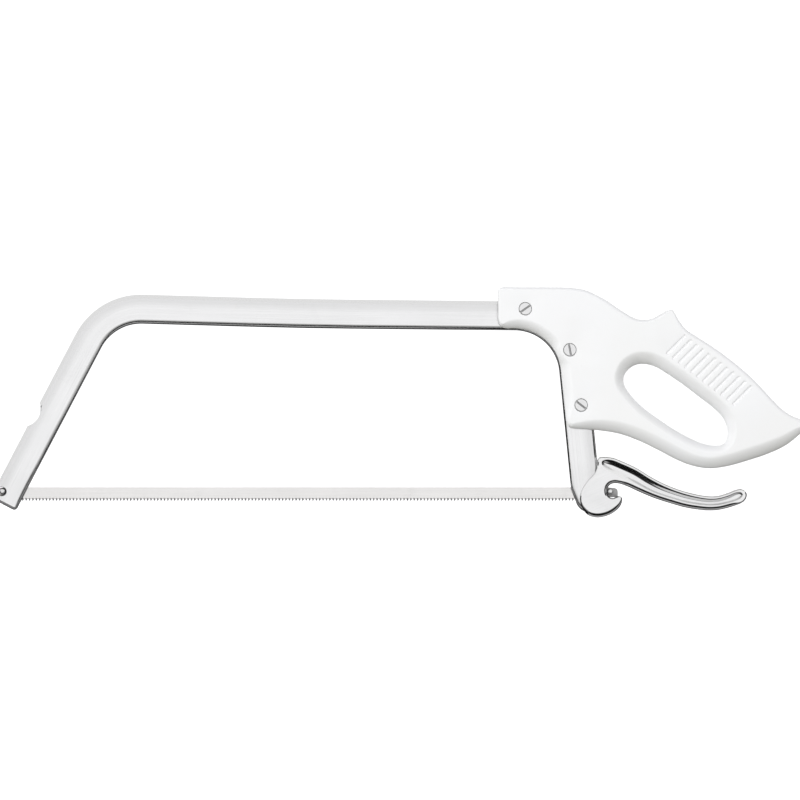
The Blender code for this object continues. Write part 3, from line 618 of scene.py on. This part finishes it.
# ---- handle ---------------------------------------------------------------------------
def handle_outline():
    """Shaped back and underside, then a front edge that follows the bar back to the start."""
    edge = offset_path(bar_path(0.12, 9.0), -(BAR_WIDTH / 2 - BAR_PROUD))
    follow = [(x, z, FRONT_EDGE_WIDTH) for x, z in edge if x > FOLLOW_X and z > FOLLOW_Z]
    (x0, z0), (x1, z1) = edge[-2:]
    foot = [(x0 + (x1 - x0) * (z - z0) / (z1 - z0) + behind, z, width)
            for behind, z, width in HANDLE_FOOT]
    lead = [(x, follow[0][1] + rise, width) for x, rise, width in HANDLE_LEAD]
    loop = smooth(HANDLE_TOP + foot + follow[::-1] + lead, 6)
    clear = SCREW_HEAD_RADIUS + SINK_GAP + SINK_LIP + SINK_ROOM
    rooms = [min(hypot(x - sx, z - sz) for sx, sz, _ in SCREWS.values()) - clear
             for x, z, _ in loop]
    return [(x, z, min(width, room)) for (x, z, width), room in zip(loop, rooms)]


def bar_slot():
    """The bar's own stretch, a little larger, and open towards the throat."""
    path = bar_path(0.06, 8.0)
    back = offset_path(path, BAR_WIDTH / 2 + SLOT_CLEAR)
    front = offset_path(path, -(BAR_WIDTH / 2 + SLOT_OPEN))
    first = next(i for i, (x, z) in enumerate(path) if x > HANDLE_START_X) - 1
    half = BAR_THICK / 2 + SLOT_CLEAR
    return prism("bar_slot", back[first:] + front[first:][::-1], -half, half)


def grip_pockets():
    """Round-bottomed grooves in an even row along the back of the grip."""
    made = []
    for i in range(GROOVE_COUNT):
        share = i / (GROOVE_COUNT - 1)
        cx, cz = (a + (b - a) * share for a, b in zip(GROOVE_FIRST, GROOVE_LAST))
        rings = []
        for wide, deep in ((1.12, 0.0), (1.0, 0.03), (0.9, 0.14), (0.74, 0.42), (0.5, 0.78),
                           (0.25, 0.95), (0.1, 1.0)):
            length = GROOVE_LENGTH - GROOVE_WIDTH * (1 - wide)
            rings.append((stadium(cx, cz, length, GROOVE_WIDTH * wide, GROOVE_RAKE),
                          GROOVE_DEPTH * deep))
        made.append(rings)
    return made


def sink_pockets():
    """Counterbores for the screw heads and the nuts, with a rounded lip."""
    floor = SCREW_HEAD_DEPTH + SCREW_SUNK + FIT_GAP
    wide = SCREW_HEAD_RADIUS + SINK_GAP
    made = []
    for x, z, _ in SCREWS.values():
        rings = [(wide + SINK_LIP, 0.0)]
        rings += [(wide + SINK_LIP * (1 - sin(t)), SINK_LIP * (1 - cos(t)))
                  for t in (pi / 8, pi / 4, 3 * pi / 8, pi / 2)]
        rings += [(wide, floor - 0.3), (wide - 0.3, floor)]
        made.append([(arc((x, z), radius, 0, 360, 64)[:-1], depth) for radius, depth in rings])
    return made


def make_handle():
    handle = plate("handle_body", handle_outline(), [smooth(HAND_HOLE, 8)],
                   grip_pockets() + sink_pockets(), HANDLE_HALF, steps=12, seam=True,
                   power=HANDLE_POWER, bore_share=HAND_HOLE_SHARE)
    return cut(handle, [bar_slot()])


# ---- handle screws and their sleeve nuts --------------------------------------------
def drive_slot(angle, side, face):
    c, s = cos(radians(angle)), sin(radians(angle))
    long, broad = SCREW_HEAD_RADIUS + 1, DRIVE_SLOT_WIDTH / 2
    corners = [(a * c - b * s, a * s + b * c)
               for a, b in ((-long, -broad), (long, -broad), (long, broad), (-long, broad))]
    low, high = sorted((side * (face - DRIVE_SLOT_DEPTH), side * (face + 1)))
    return prism("drive_slot", corners, low, high)


def make_screws():
    """Slotted heads with a rounded rim; each piece has its origin on its own axis."""
    face = HANDLE_HALF - SCREW_SUNK
    shoulder = face - SCREW_HEAD_DEPTH
    head = [(0, face), (SCREW_HEAD_RADIUS - HEAD_ROUND - 0.2, face)]
    head += rounded(SCREW_HEAD_RADIUS, face, HEAD_ROUND)
    head += [(SCREW_HEAD_RADIUS, shoulder + 0.2), (SCREW_HEAD_RADIUS - 0.2, shoulder)]
    shank = [(SCREW_SHANK_RADIUS, shoulder), (SCREW_SHANK_RADIUS, SCREW_SHANK_END + 0.4),
             (SCREW_SHANK_RADIUS - 0.4, SCREW_SHANK_END), (0, SCREW_SHANK_END)]
    sleeve = sleeve_profile(shoulder)
    made = []
    for key, (x, z, angle) in SCREWS.items():
        for kind, side, tail, twist in (("screw", -1, shank, 0), ("nut", 1, sleeve, NUT_TWIST)):
            piece = turn("%s_%s" % (kind, key), head + tail, side)
            cut(piece, [drive_slot(angle + twist, side, face)])
            piece.location = to_metres(x, 0, z)
            made.append((piece, "handle_%s_%s" % (kind, key), "handle_" + kind, "bow"))
    return made


def sleeve_profile(shoulder):
    """Body of a barrel nut, from its shoulder round its mouth to the floor of its bore."""
    inside, mouth = SCREW_SHANK_RADIUS + FIT_GAP, SLEEVE_MOUTH_Y
    return [(SLEEVE_RADIUS, shoulder), (SLEEVE_RADIUS, mouth + 0.3), (SLEEVE_RADIUS - 0.3, mouth),
            (inside + 0.2, mouth), (inside, mouth + 0.2), (inside, SLEEVE_FLOOR_Y),
            (0, SLEEVE_FLOOR_Y)]


# ---- lever ----------------------------------------------------------------------------
def make_lever():
    """Lever with a gap between its two cheeks and a dished arm on both sides."""
    arm = [(x, z, LEVER_EDGE) for x, z in LEVER_TOP + LEVER_TIP]
    arm += [(x, z, LEVER_LOW_EDGE) for x, z in LEVER_LOW]
    outline = smooth(arm + HOOK + LEVER_HEAD, 7)
    dish = smooth(RECESS, 7)
    left = signed_area([p[:2] for p in dish]) > 0
    dish = safe_widths(dish, left)
    rim = [(*p[:2], 1.0) for p in dish]
    rings = [(inset(rim, left, -0.35), 0.0), (inset(rim, left, -0.22), 0.02),
             (inset(rim, left, -0.08), 0.1)]
    for j in range(1, 10):
        t = j / 9
        fall = (t + t * t * (3 - 2 * t)) / 2
        rings.append((inset(dish, left, t), 0.1 + (RECESS_DEPTH - 0.1) * fall))
    rings.append((inset(dish, left, 1.04), RECESS_DEPTH))
    lever = plate("lever", outline, [], [rings], LEVER_HALF, LEVER_EDGE_SHARE, power=LEVER_POWER)
    gap = GAP_BACK + arc(REAR_PIN, GAP_PIN_RADIUS, 146, 0, 32) + GAP_MOUTH
    wide, end = STUB_RADIUS + SOCKET_CLEAR, STUB_OUTER_Y + SOCKET_CLEAR
    bore = arc(PIVOT, wide, 0, 360, 40)[:-1]
    return cut(lever, [prism("cheek_gap", gap, -CHEEK_GAP_HALF, CHEEK_GAP_HALF),
                       joined("stub_bores", [prism("near", bore, -end, 0),
                                             prism("far", bore, 0, end)])])


def pin(name, place, radius, y0, y1, round_off):
    """Plain pin along Y with rounded ends and its origin on its own axis."""
    middle, half = (y0 + y1) / 2, (y1 - y0) / 2
    ends = rounded(radius, half, round_off)
    profile = [(0, half)] + ends + [(r, -y) for r, y in ends[::-1]] + [(0, -half)]
    piece = turn(name, profile, 1, sides=48)
    piece.location = to_metres(place[0], middle, place[1])
    return piece


# ---- blade ----------------------------------------------------------------------------
def make_blade():
    """Flat blade with two pinned tabs; the teeth lean to either side in turn."""
    front, rear = FRONT_PIN[0], REAR_PIN[0]
    first, last = front - TAB_LENGTH, rear + TAB_LENGTH
    back = [(first, TAB_BOTTOM_Z), (first, BLADE_TOP_Z - 3.0), (first + 0.9, BLADE_TOP_Z - 1.3),
            (first + 2.6, BLADE_TOP_Z - 0.6), (front + 3.0, BLADE_TOP_Z),
            (rear - 3.0, BLADE_TOP_Z), (last - 2.2, BLADE_TOP_Z - 0.6),
            (last - 0.6, BLADE_TOP_Z - 1.4), (last, BLADE_TOP_Z - 2.8), (last, TAB_BOTTOM_Z),
            (rear - 3.0, TAB_BOTTOM_Z), (rear - 4.5, TOOTH_ROOT_Z)]
    bm = bmesh.new()
    half = BLADE_THICK / 2

    def pair(x, z, lean=0.0):
        return [bm.verts.new(to_metres(x, side * half + lean, z)) for side in (-1, 1)]

    body = [pair(x, z) for x, z in back]
    rim, teeth = list(body), []
    height = TOOTH_ROOT_Z - TOOTH_TIP_Z
    for i in reversed(range(TOOTH_COUNT)):
        x = TOOTH_FIRST_X + i * TOOTH_PITCH
        lean = TOOTH_SET * (1 if i % 2 else -1)
        points = [pair(x + a * TOOTH_PITCH, TOOTH_ROOT_Z - b * height, lean * max(b - 0.2, 0))
                  for a, b in TOOTH]
        root = [points[0], points[1], points[-1]]
        body += root[::-1]
        rim += points[::-1]
        teeth.append(points[1:])
    end = [pair(front + 6.0, TOOTH_ROOT_Z), pair(front + 3.0, TAB_BOTTOM_Z)]
    body += end
    rim += end
    for k, flip in ((0, False), (1, True)):
        bm.faces.new([p[k] for p in body])
        for points in teeth:
            bm.faces.new([p[k] for p in points])
    for a, b in zip(rim, rim[1:] + rim[:1]):
        bm.faces.new((a[0], b[0], b[1], a[1]))
    return link("blade", bm)


# ---- node helpers ---------------------------------------------------------------------
def node(tree, kind, inputs=None, **settings):
    """New shader node; an input is set to a value or wired to a socket."""
    made = tree.nodes.new("ShaderNode" + kind)
    for key, value in settings.items():
        setattr(made, key, value)
    for key, value in (inputs or {}).items():
        if isinstance(value, bpy.types.NodeSocket):
            tree.links.new(value, made.inputs[key])
        else:
            made.inputs[key].default_value = value
    return made


def noise(tree, vector, stretch, detail=3.0, roughness=0.55):
    """Noise in the vector's own metres: stretch is the count of features per metre on each axis."""
    scaled = node(tree, "VectorMath", {0: vector, 1: stretch}, operation="MULTIPLY")
    made = node(tree, "TexNoise", {"Vector": scaled.outputs[0], "Scale": 1.0, "Detail": detail,
                                   "Roughness": roughness})
    return made.outputs["Fac"]


def calc(tree, operation, *values):
    return node(tree, "Math", dict(enumerate(values)), operation=operation).outputs[0]


def spread(tree, value, low, high, to_low, to_high):
    """Value from low..high, clamped, to the new range."""
    made = node(tree, "MapRange", {"Value": value, "From Min": low, "From Max": high,
                                   "To Min": to_low, "To Max": to_high})
    return made.outputs["Result"]


def blend(tree, share, first, second, kind="MIX"):
    made = node(tree, "Mix", data_type="RGBA", blend_type=kind)
    for socket, value in ((0, share), (6, first), (7, second)):
        if isinstance(value, bpy.types.NodeSocket):
            tree.links.new(value, made.inputs[socket])
        else:
            made.inputs[socket].default_value = value
    return made.outputs[2]


def bumped(tree, heights, soften=None):
    """Normal from several (height socket, strength, distance), over softened edges."""
    normal = None
    if soften:
        normal = node(tree, "Bevel", {"Radius": soften}, samples=6).outputs[0]
    for height, strength, distance in heights:
        inputs = {"Height": height, "Strength": strength, "Distance": distance}
        if normal:
            inputs["Normal"] = normal
        normal = node(tree, "Bump", inputs).outputs[0]
    return normal


def new_material(name):
    material = bpy.data.materials.new(name)
    material.use_nodes = True
    tree = material.node_tree
    return material, tree, tree.nodes["Principled BSDF"]


def wire(tree, shader, **sockets):
    names = {"base": "Base Color", "rough": "Roughness", "normal": "Normal", "metal": "Metallic"}
    for key, value in sockets.items():
        if isinstance(value, bpy.types.NodeSocket):
            tree.links.new(value, shader.inputs[names[key]])
        else:
            shader.inputs[names[key]].default_value = value


def crevice(tree, reach, only_local=True):
    """1 in the open, towards 0 deep in a corner."""
    return node(tree, "AmbientOcclusion", {"Distance": reach}, samples=8,
                only_local=only_local).outputs["AO"]


# ---- materials ------------------------------------------------------------------------
def steel(name, tint, rough, place, lines, grain=1.0, wave=0.00025, soften=0.0003, crevice_shade=0.3):
    """Ground steel: fine lines along one direction, broad waviness, stains and hair scratches.

    place is the vector that the lines follow, and lines the features per metre on its axes.
    """
    material, tree, shader = new_material(name)
    vector = place(tree)
    object_place = node(tree, "TexCoord").outputs["Object"]
    fine = noise(tree, vector, lines, detail=4.0)
    broad = noise(tree, vector, [v * 0.22 for v in lines], detail=3.0)
    cloud = noise(tree, object_place, (22, 22, 22), detail=4.0)
    stain = noise(tree, object_place, (70, 70, 70), detail=6.0, roughness=0.7)
    slant = node(tree, "VectorRotate", {"Vector": vector, "Angle": 0.5},
                 rotation_type="Y_AXIS").outputs[0]
    hair = noise(tree, slant, (60, 60, 3800), detail=1.0)
    scratch = spread(tree, hair, 0.70, 0.74, 0.0, 1.0)
    light = [*(c * 1.04 for c in tint), 1]
    dark = [*(c * (1.04 - 0.1 * grain) for c in tint), 1]
    colour = blend(tree, spread(tree, fine, 0.35, 0.65, 0.0, 1.0), light, dark)
    colour = blend(tree, spread(tree, cloud, 0.3, 0.7, 0.0, 0.35), colour,
                   [*(c * 0.9 for c in tint), 1])
    # painted shade: ambient occlusion darkens the colour in corners and recesses
    crevice_shade_factor = spread(tree, crevice(tree, 0.003), 0.25, 0.8, 1.0 - crevice_shade, 1.0)
    grey = node(tree, "CombineColor", {0: crevice_shade_factor, 1: crevice_shade_factor, 2: crevice_shade_factor}).outputs[0]
    colour = blend(tree, 1.0, colour, grey, "MULTIPLY")
    roughness = spread(tree, fine, 0.3, 0.7, rough - 0.03, rough + 0.05)
    patches = spread(tree, stain, 0.5, 0.7, 0.0, 0.06)
    scuffs = spread(tree, scratch, 0, 1, 0.0, 0.1)
    roughness = calc(tree, "ADD", calc(tree, "ADD", roughness, patches), scuffs)
    swell = noise(tree, object_place, (16, 16, 16), detail=1.0)
    normal = bumped(tree, [(swell, 1.0, wave * 8), (broad, 0.12 * grain, 0.00002),
                           (fine, 0.2 * grain, 0.00001), (scratch, -0.2, 0.00001)], soften)
    wire(tree, shader, base=colour, rough=roughness, normal=normal, metal=1.0)
    return material


def along_attribute(tree):
    return node(tree, "Attribute", attribute_name="grain").outputs["Vector"]


def bar_steel():
    """Drawn flat bar, with painted shade that darkens its outer third a little."""
    material = steel("satin_bar", (0.73, 0.73, 0.73), 0.16, along_attribute, (16, 2600, 900),
                     grain=0.6)
    tree = material.node_tree
    shader = tree.nodes["Principled BSDF"]
    # painted shade: darker from a millimetre off the centreline, fully so from six millimetres out
    # to the outer edge
    across = node(tree, "SeparateXYZ", {0: along_attribute(tree)}).outputs[1]
    dimmer = spread(tree, across, 0.001, 0.006, 0.0, 0.8)
    wire(tree, shader, base=blend(tree, dimmer, shader.inputs["Base Color"].links[0].from_socket,
                                  (0.61, 0.61, 0.61, 1)))
    return material


def along_x(tree):
    return node(tree, "TexCoord").outputs["Object"]


def along_lever(tree):
    """The lever's arm runs down to the rear, so the lines do too."""
    return node(tree, "VectorRotate", {"Vector": along_x(tree), "Angle": 0.42},
                rotation_type="Y_AXIS").outputs[0]


def turned(tree):
    """Rings about a piece's own axis, as a tool leaves them when a head is faced off."""
    split = node(tree, "SeparateXYZ", {0: along_x(tree)})
    flat = node(tree, "CombineXYZ", {0: split.outputs[0], 2: split.outputs[2]})
    radius = node(tree, "VectorMath", {0: flat.outputs[0]}, operation="LENGTH").outputs["Value"]
    return node(tree, "CombineXYZ", {0: radius, 1: split.outputs[1]}).outputs[0]


def plastic():
    """White moulded plastic: faint mottling, a fine eggshell grain, handling marks, painted shade
    in its hollows.
    """
    material, tree, shader = new_material("moulded_plastic")
    place = node(tree, "TexCoord").outputs["Object"]
    cloud = noise(tree, place, (18, 18, 18), detail=4.0)
    fleck = noise(tree, place, (420, 420, 420), detail=3.0)
    pebble = noise(tree, place, (1900, 1900, 1900), detail=2.0)
    swell = noise(tree, place, (28, 28, 28), detail=1.0)
    rub = noise(tree, node(tree, "VectorRotate", {"Vector": place, "Angle": 0.9},
                           rotation_type="Y_AXIS").outputs[0], (45, 45, 2600), detail=1.0)
    rub = spread(tree, rub, 0.70, 0.75, 0.0, 1.0)
    white, cream, dimmer = (0.915, 0.92, 0.93, 1), (0.90, 0.90, 0.895, 1), (0.74, 0.73, 0.70, 1)
    colour = blend(tree, spread(tree, cloud, 0.35, 0.7, 0.0, 0.8), white, cream)
    colour = blend(tree, spread(tree, fleck, 0.66, 0.74, 0.0, 0.12), colour, dimmer)
    # painted shade: ambient occlusion darkens the plastic in its grooves, seam and counterbores
    crease_shade = spread(tree, crevice(tree, 0.0016), 0.3, 0.75, 0.55, 0.0)
    colour = blend(tree, crease_shade, colour, (0.42, 0.41, 0.38, 1))
    roughness = spread(tree, fleck, 0.3, 0.7, 0.34, 0.42)
    roughness = calc(tree, "ADD", roughness, spread(tree, rub, 0, 1, 0, 0.12))
    normal = bumped(tree, [(swell, 1.0, 0.0006), (pebble, 0.35, 0.00003), (rub, -0.3, 0.00003)],
                    0.00025)
    wire(tree, shader, base=colour, rough=roughness, normal=normal)
    shader.inputs["Specular IOR Level"].default_value = 0.3
    return material


def blade_steel():
    """Rolled spring steel with painted shade on its teeth, each its own way, and where it is
    enclosed.
    """
    material = steel("blade_steel", (0.71, 0.70, 0.69), 0.2, along_x, (14, 600, 2600),
                     grain=0.35, wave=0.0001, soften=None, crevice_shade=0.0)
    tree = material.node_tree
    shader = tree.nodes["Principled BSDF"]
    x, _, z = node(tree, "SeparateXYZ", {0: along_x(tree)}).outputs
    # painted shade on the teeth: near black at each tooth's middle, stronger on some teeth than
    # others
    teeth = spread(tree, z, (TOOTH_ROOT_Z + 0.1) * MM, (TOOTH_ROOT_Z + 0.6) * MM, 1.0, 0.0)
    count = calc(tree, "MULTIPLY_ADD", x, 1 / (TOOTH_PITCH * MM),
                 0.5 - TOOTH_SHADE_MIDDLE - TOOTH_FIRST_X / TOOTH_PITCH)
    middle = calc(tree, "COMPARE", calc(tree, "FRACT", count), 0.5, 0.26)
    tooth_shade_chance = spread(tree, noise(tree, along_x(tree), (230, 0, 0), detail=1.0), 0.35, 0.65, 0.8, 1.0)
    share = calc(tree, "MULTIPLY", calc(tree, "MULTIPLY", teeth, tooth_shade_chance),
                 spread(tree, middle, 0, 1, 0.15, 1.0))
    before = shader.inputs["Base Color"].links[0].from_socket
    colour = blend(tree, share, before, (0.015, 0.015, 0.015, 1))
    # the rear tab is painted darker grey, from a little before the rear pin to the blade's end
    from_pin = calc(tree, "SUBTRACT", x, REAR_PIN[0] * MM)
    rear_tab_darker = spread(tree, from_pin, -0.004, 0.003, 0.0, 0.75)
    colour = blend(tree, rear_tab_darker, colour, (0.17, 0.17, 0.17, 1))
    # painted shade: ambient occlusion from every piece darkens the blade where slots and seats
    # close round it
    enclosed_shade = spread(tree, crevice(tree, 0.005, only_local=False), 0.35, 0.85, 0.03, 1.0)
    grey = node(tree, "CombineColor", {0: enclosed_shade, 1: enclosed_shade, 2: enclosed_shade}).outputs[0]
    wire(tree, shader, base=blend(tree, 1.0, colour, grey, "MULTIPLY"))
    return material


# ---- studio -----------------------------------------------------------------------------
def make_room():
    """Even pale room: bright all round at eye level, dark above and below."""
    world = bpy.data.worlds.new("room")
    bpy.context.scene.world = world
    world.use_nodes = True
    world.cycles.sampling_method = "NONE"
    tree = world.node_tree
    height = node(tree, "SeparateXYZ", {0: node(tree, "TexCoord").outputs["Generated"]}).outputs[2]
    walls, ceiling, ground = (1.20, 1.20, 1.21, 1), (0.12, 0.12, 0.13, 1), (0.13, 0.13, 0.10, 1)
    colour = blend(tree, spread(tree, height, -0.6, -0.05, 0.0, 1.0), ground, walls)
    colour = blend(tree, spread(tree, height, 0.2, 0.7, 0.0, 1.0), colour, ceiling)
    tree.links.new(colour, tree.nodes["Background"].inputs["Color"])


def make_floor():
    bm = bmesh.new()
    bmesh.ops.create_circle(bm, cap_ends=True, segments=96, radius=60.0)
    floor = link("floor", bm)
    floor.location = (0, 0, CAD_BOX[0].z - FLOOR_DROP)
    material, tree, shader = new_material("pale_floor")
    cloud = noise(tree, node(tree, "TexCoord").outputs["Object"], (1.5, 1.5, 1.5), detail=2.0)
    wire(tree, shader, rough=0.7,
         base=blend(tree, cloud, (0.86, 0.86, 0.86, 1), (0.88, 0.88, 0.88, 1)))
    shader.inputs["Emission Color"].default_value = (1, 1, 1, 1)
    shader.inputs["Emission Strength"].default_value = 0.9
    floor.data.materials.append(material)
    floor.visible_diffuse = False
    floor.visible_glossy = False


def make_softboxes():
    """A large soft lamp from the upper left of the near side, and a weaker one behind."""
    for name, place, power in (("softbox_near", (-0.9, -2.2, 0.7), 30.0),
                               ("softbox_far", (0.9, 2.1, 1.0), 18.0)):
        lamp = bpy.data.lights.new(name, "AREA")
        lamp.size, lamp.energy = 1.4, power
        obj = bpy.data.objects.new(name, lamp)
        obj.location = place
        obj.rotation_euler = (-obj.location).to_track_quat("-Z", "Y").to_euler()
        obj.visible_glossy = obj.visible_camera = False
        bpy.context.scene.collection.objects.link(obj)


def make_cloths():
    """Cloths round the saw that only mirror-like rays meet: they draw the polished edges.

    Under the saw a grey sheet lies below strips of black; the lever's strips are set
    differently from the bow's. Black cloths hang at both ends, and a white one lies above.
    """
    tones = {}
    for name, tone in (("black", 0.0), ("grey", 0.42), ("white", 1.15)):
        tones[name], _, shader = new_material(name + "_cloth")
        shader.inputs["Base Color"].default_value = (0.01, 0.01, 0.01, 1)
        shader.inputs["Specular IOR Level"].default_value = 0.0
        shader.inputs["Emission Color"].default_value = (1, 1, 1, 1)
        shader.inputs["Emission Strength"].default_value = tone
    for number, (tone, (x0, y0, z0), (x1, y1, z1)) in enumerate(CLOTHS):
        if z0 == z1:
            corners = [(x0, y0, z0), (x1, y0, z0), (x1, y1, z0), (x0, y1, z0)]
        else:
            corners = [(x0, y0, z0), (x0, y0, z1), (x0, y1, z1), (x0, y1, z0)]
        mesh = bpy.data.meshes.new("cloth_%d" % number)
        mesh.from_pydata(corners, [], [(0, 1, 2, 3)])
        mesh.materials.append(tones[tone])
        cloth = bpy.data.objects.new("cloth_%d" % number, mesh)
        bpy.context.scene.collection.objects.link(cloth)
        cloth.visible_camera = cloth.visible_diffuse = cloth.visible_shadow = False


def make_camera():
    """Straight view of the near side with a long lens; both ends run just out of the frame."""
    data = bpy.data.cameras.new("camera")
    data.sensor_width = 36.0
    data.lens = data.sensor_width * CAMERA_DISTANCE / VIEW_WIDTH
    data.clip_end = 200.0
    camera = bpy.data.objects.new("camera", data)
    camera.location = (VIEW_CENTRE[0], -CAMERA_DISTANCE, VIEW_CENTRE[1])
    camera.rotation_euler = (pi / 2, 0, 0)
    bpy.context.scene.collection.objects.link(camera)
    bpy.context.scene.camera = camera


def place(piece, node_name, slot, body, material):
    piece.data.materials.clear()
    piece.data.materials.append(material)
    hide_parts(node_name)
    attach(piece, body)


def main():
    make_camera()
    make_room()
    make_floor()
    make_softboxes()
    make_cloths()
    bpy.context.scene.view_settings.view_transform = "Standard"
    forged = steel("polished_lever", (0.71, 0.71, 0.71), 0.12, along_lever, (40, 900, 1500),
                   grain=0.4, wave=0.0002)
    # the screw heads get the deepest painted shade, in their drive slots
    bright = steel("turned_head", (0.71, 0.71, 0.71), 0.2, turned, (5200, 300, 300), crevice_shade=0.75)
    drawn = steel("drawn_pin", (0.68, 0.68, 0.68), 0.2, turned, (2600, 500, 300))
    place(make_bow(), "bow_frame", "bow_frame", "bow", bar_steel())
    place(make_handle(), "handle", "handle", "bow", plastic())
    for piece, name, slot, body in make_screws():
        place(piece, name, slot, body, bright)
    place(make_lever(), "tension_lever", "tension_lever", "lever", forged)
    for side, y0, y1 in (("near", -STUB_OUTER_Y, -STUB_INNER_Y),
                         ("far", STUB_INNER_Y, STUB_OUTER_Y)):
        stub = pin("stub_" + side, PIVOT, STUB_RADIUS, y0, y1, STUB_ROUND)
        place(stub, "lever_pivot_" + side, "lever_pivot", "lever", drawn)
    place(make_blade(), "saw_blade", "saw_blade", "blade", blade_steel())
    for end, spot in (("front", FRONT_PIN), ("rear", REAR_PIN)):
        rivet = pin("pin_" + end, spot, PIN_RADIUS, -PIN_HALF_LENGTH, PIN_HALF_LENGTH, PIN_ROUND)
        place(rivet, "blade_pin_" + end, "blade_pin", "blade", drawn)


main()
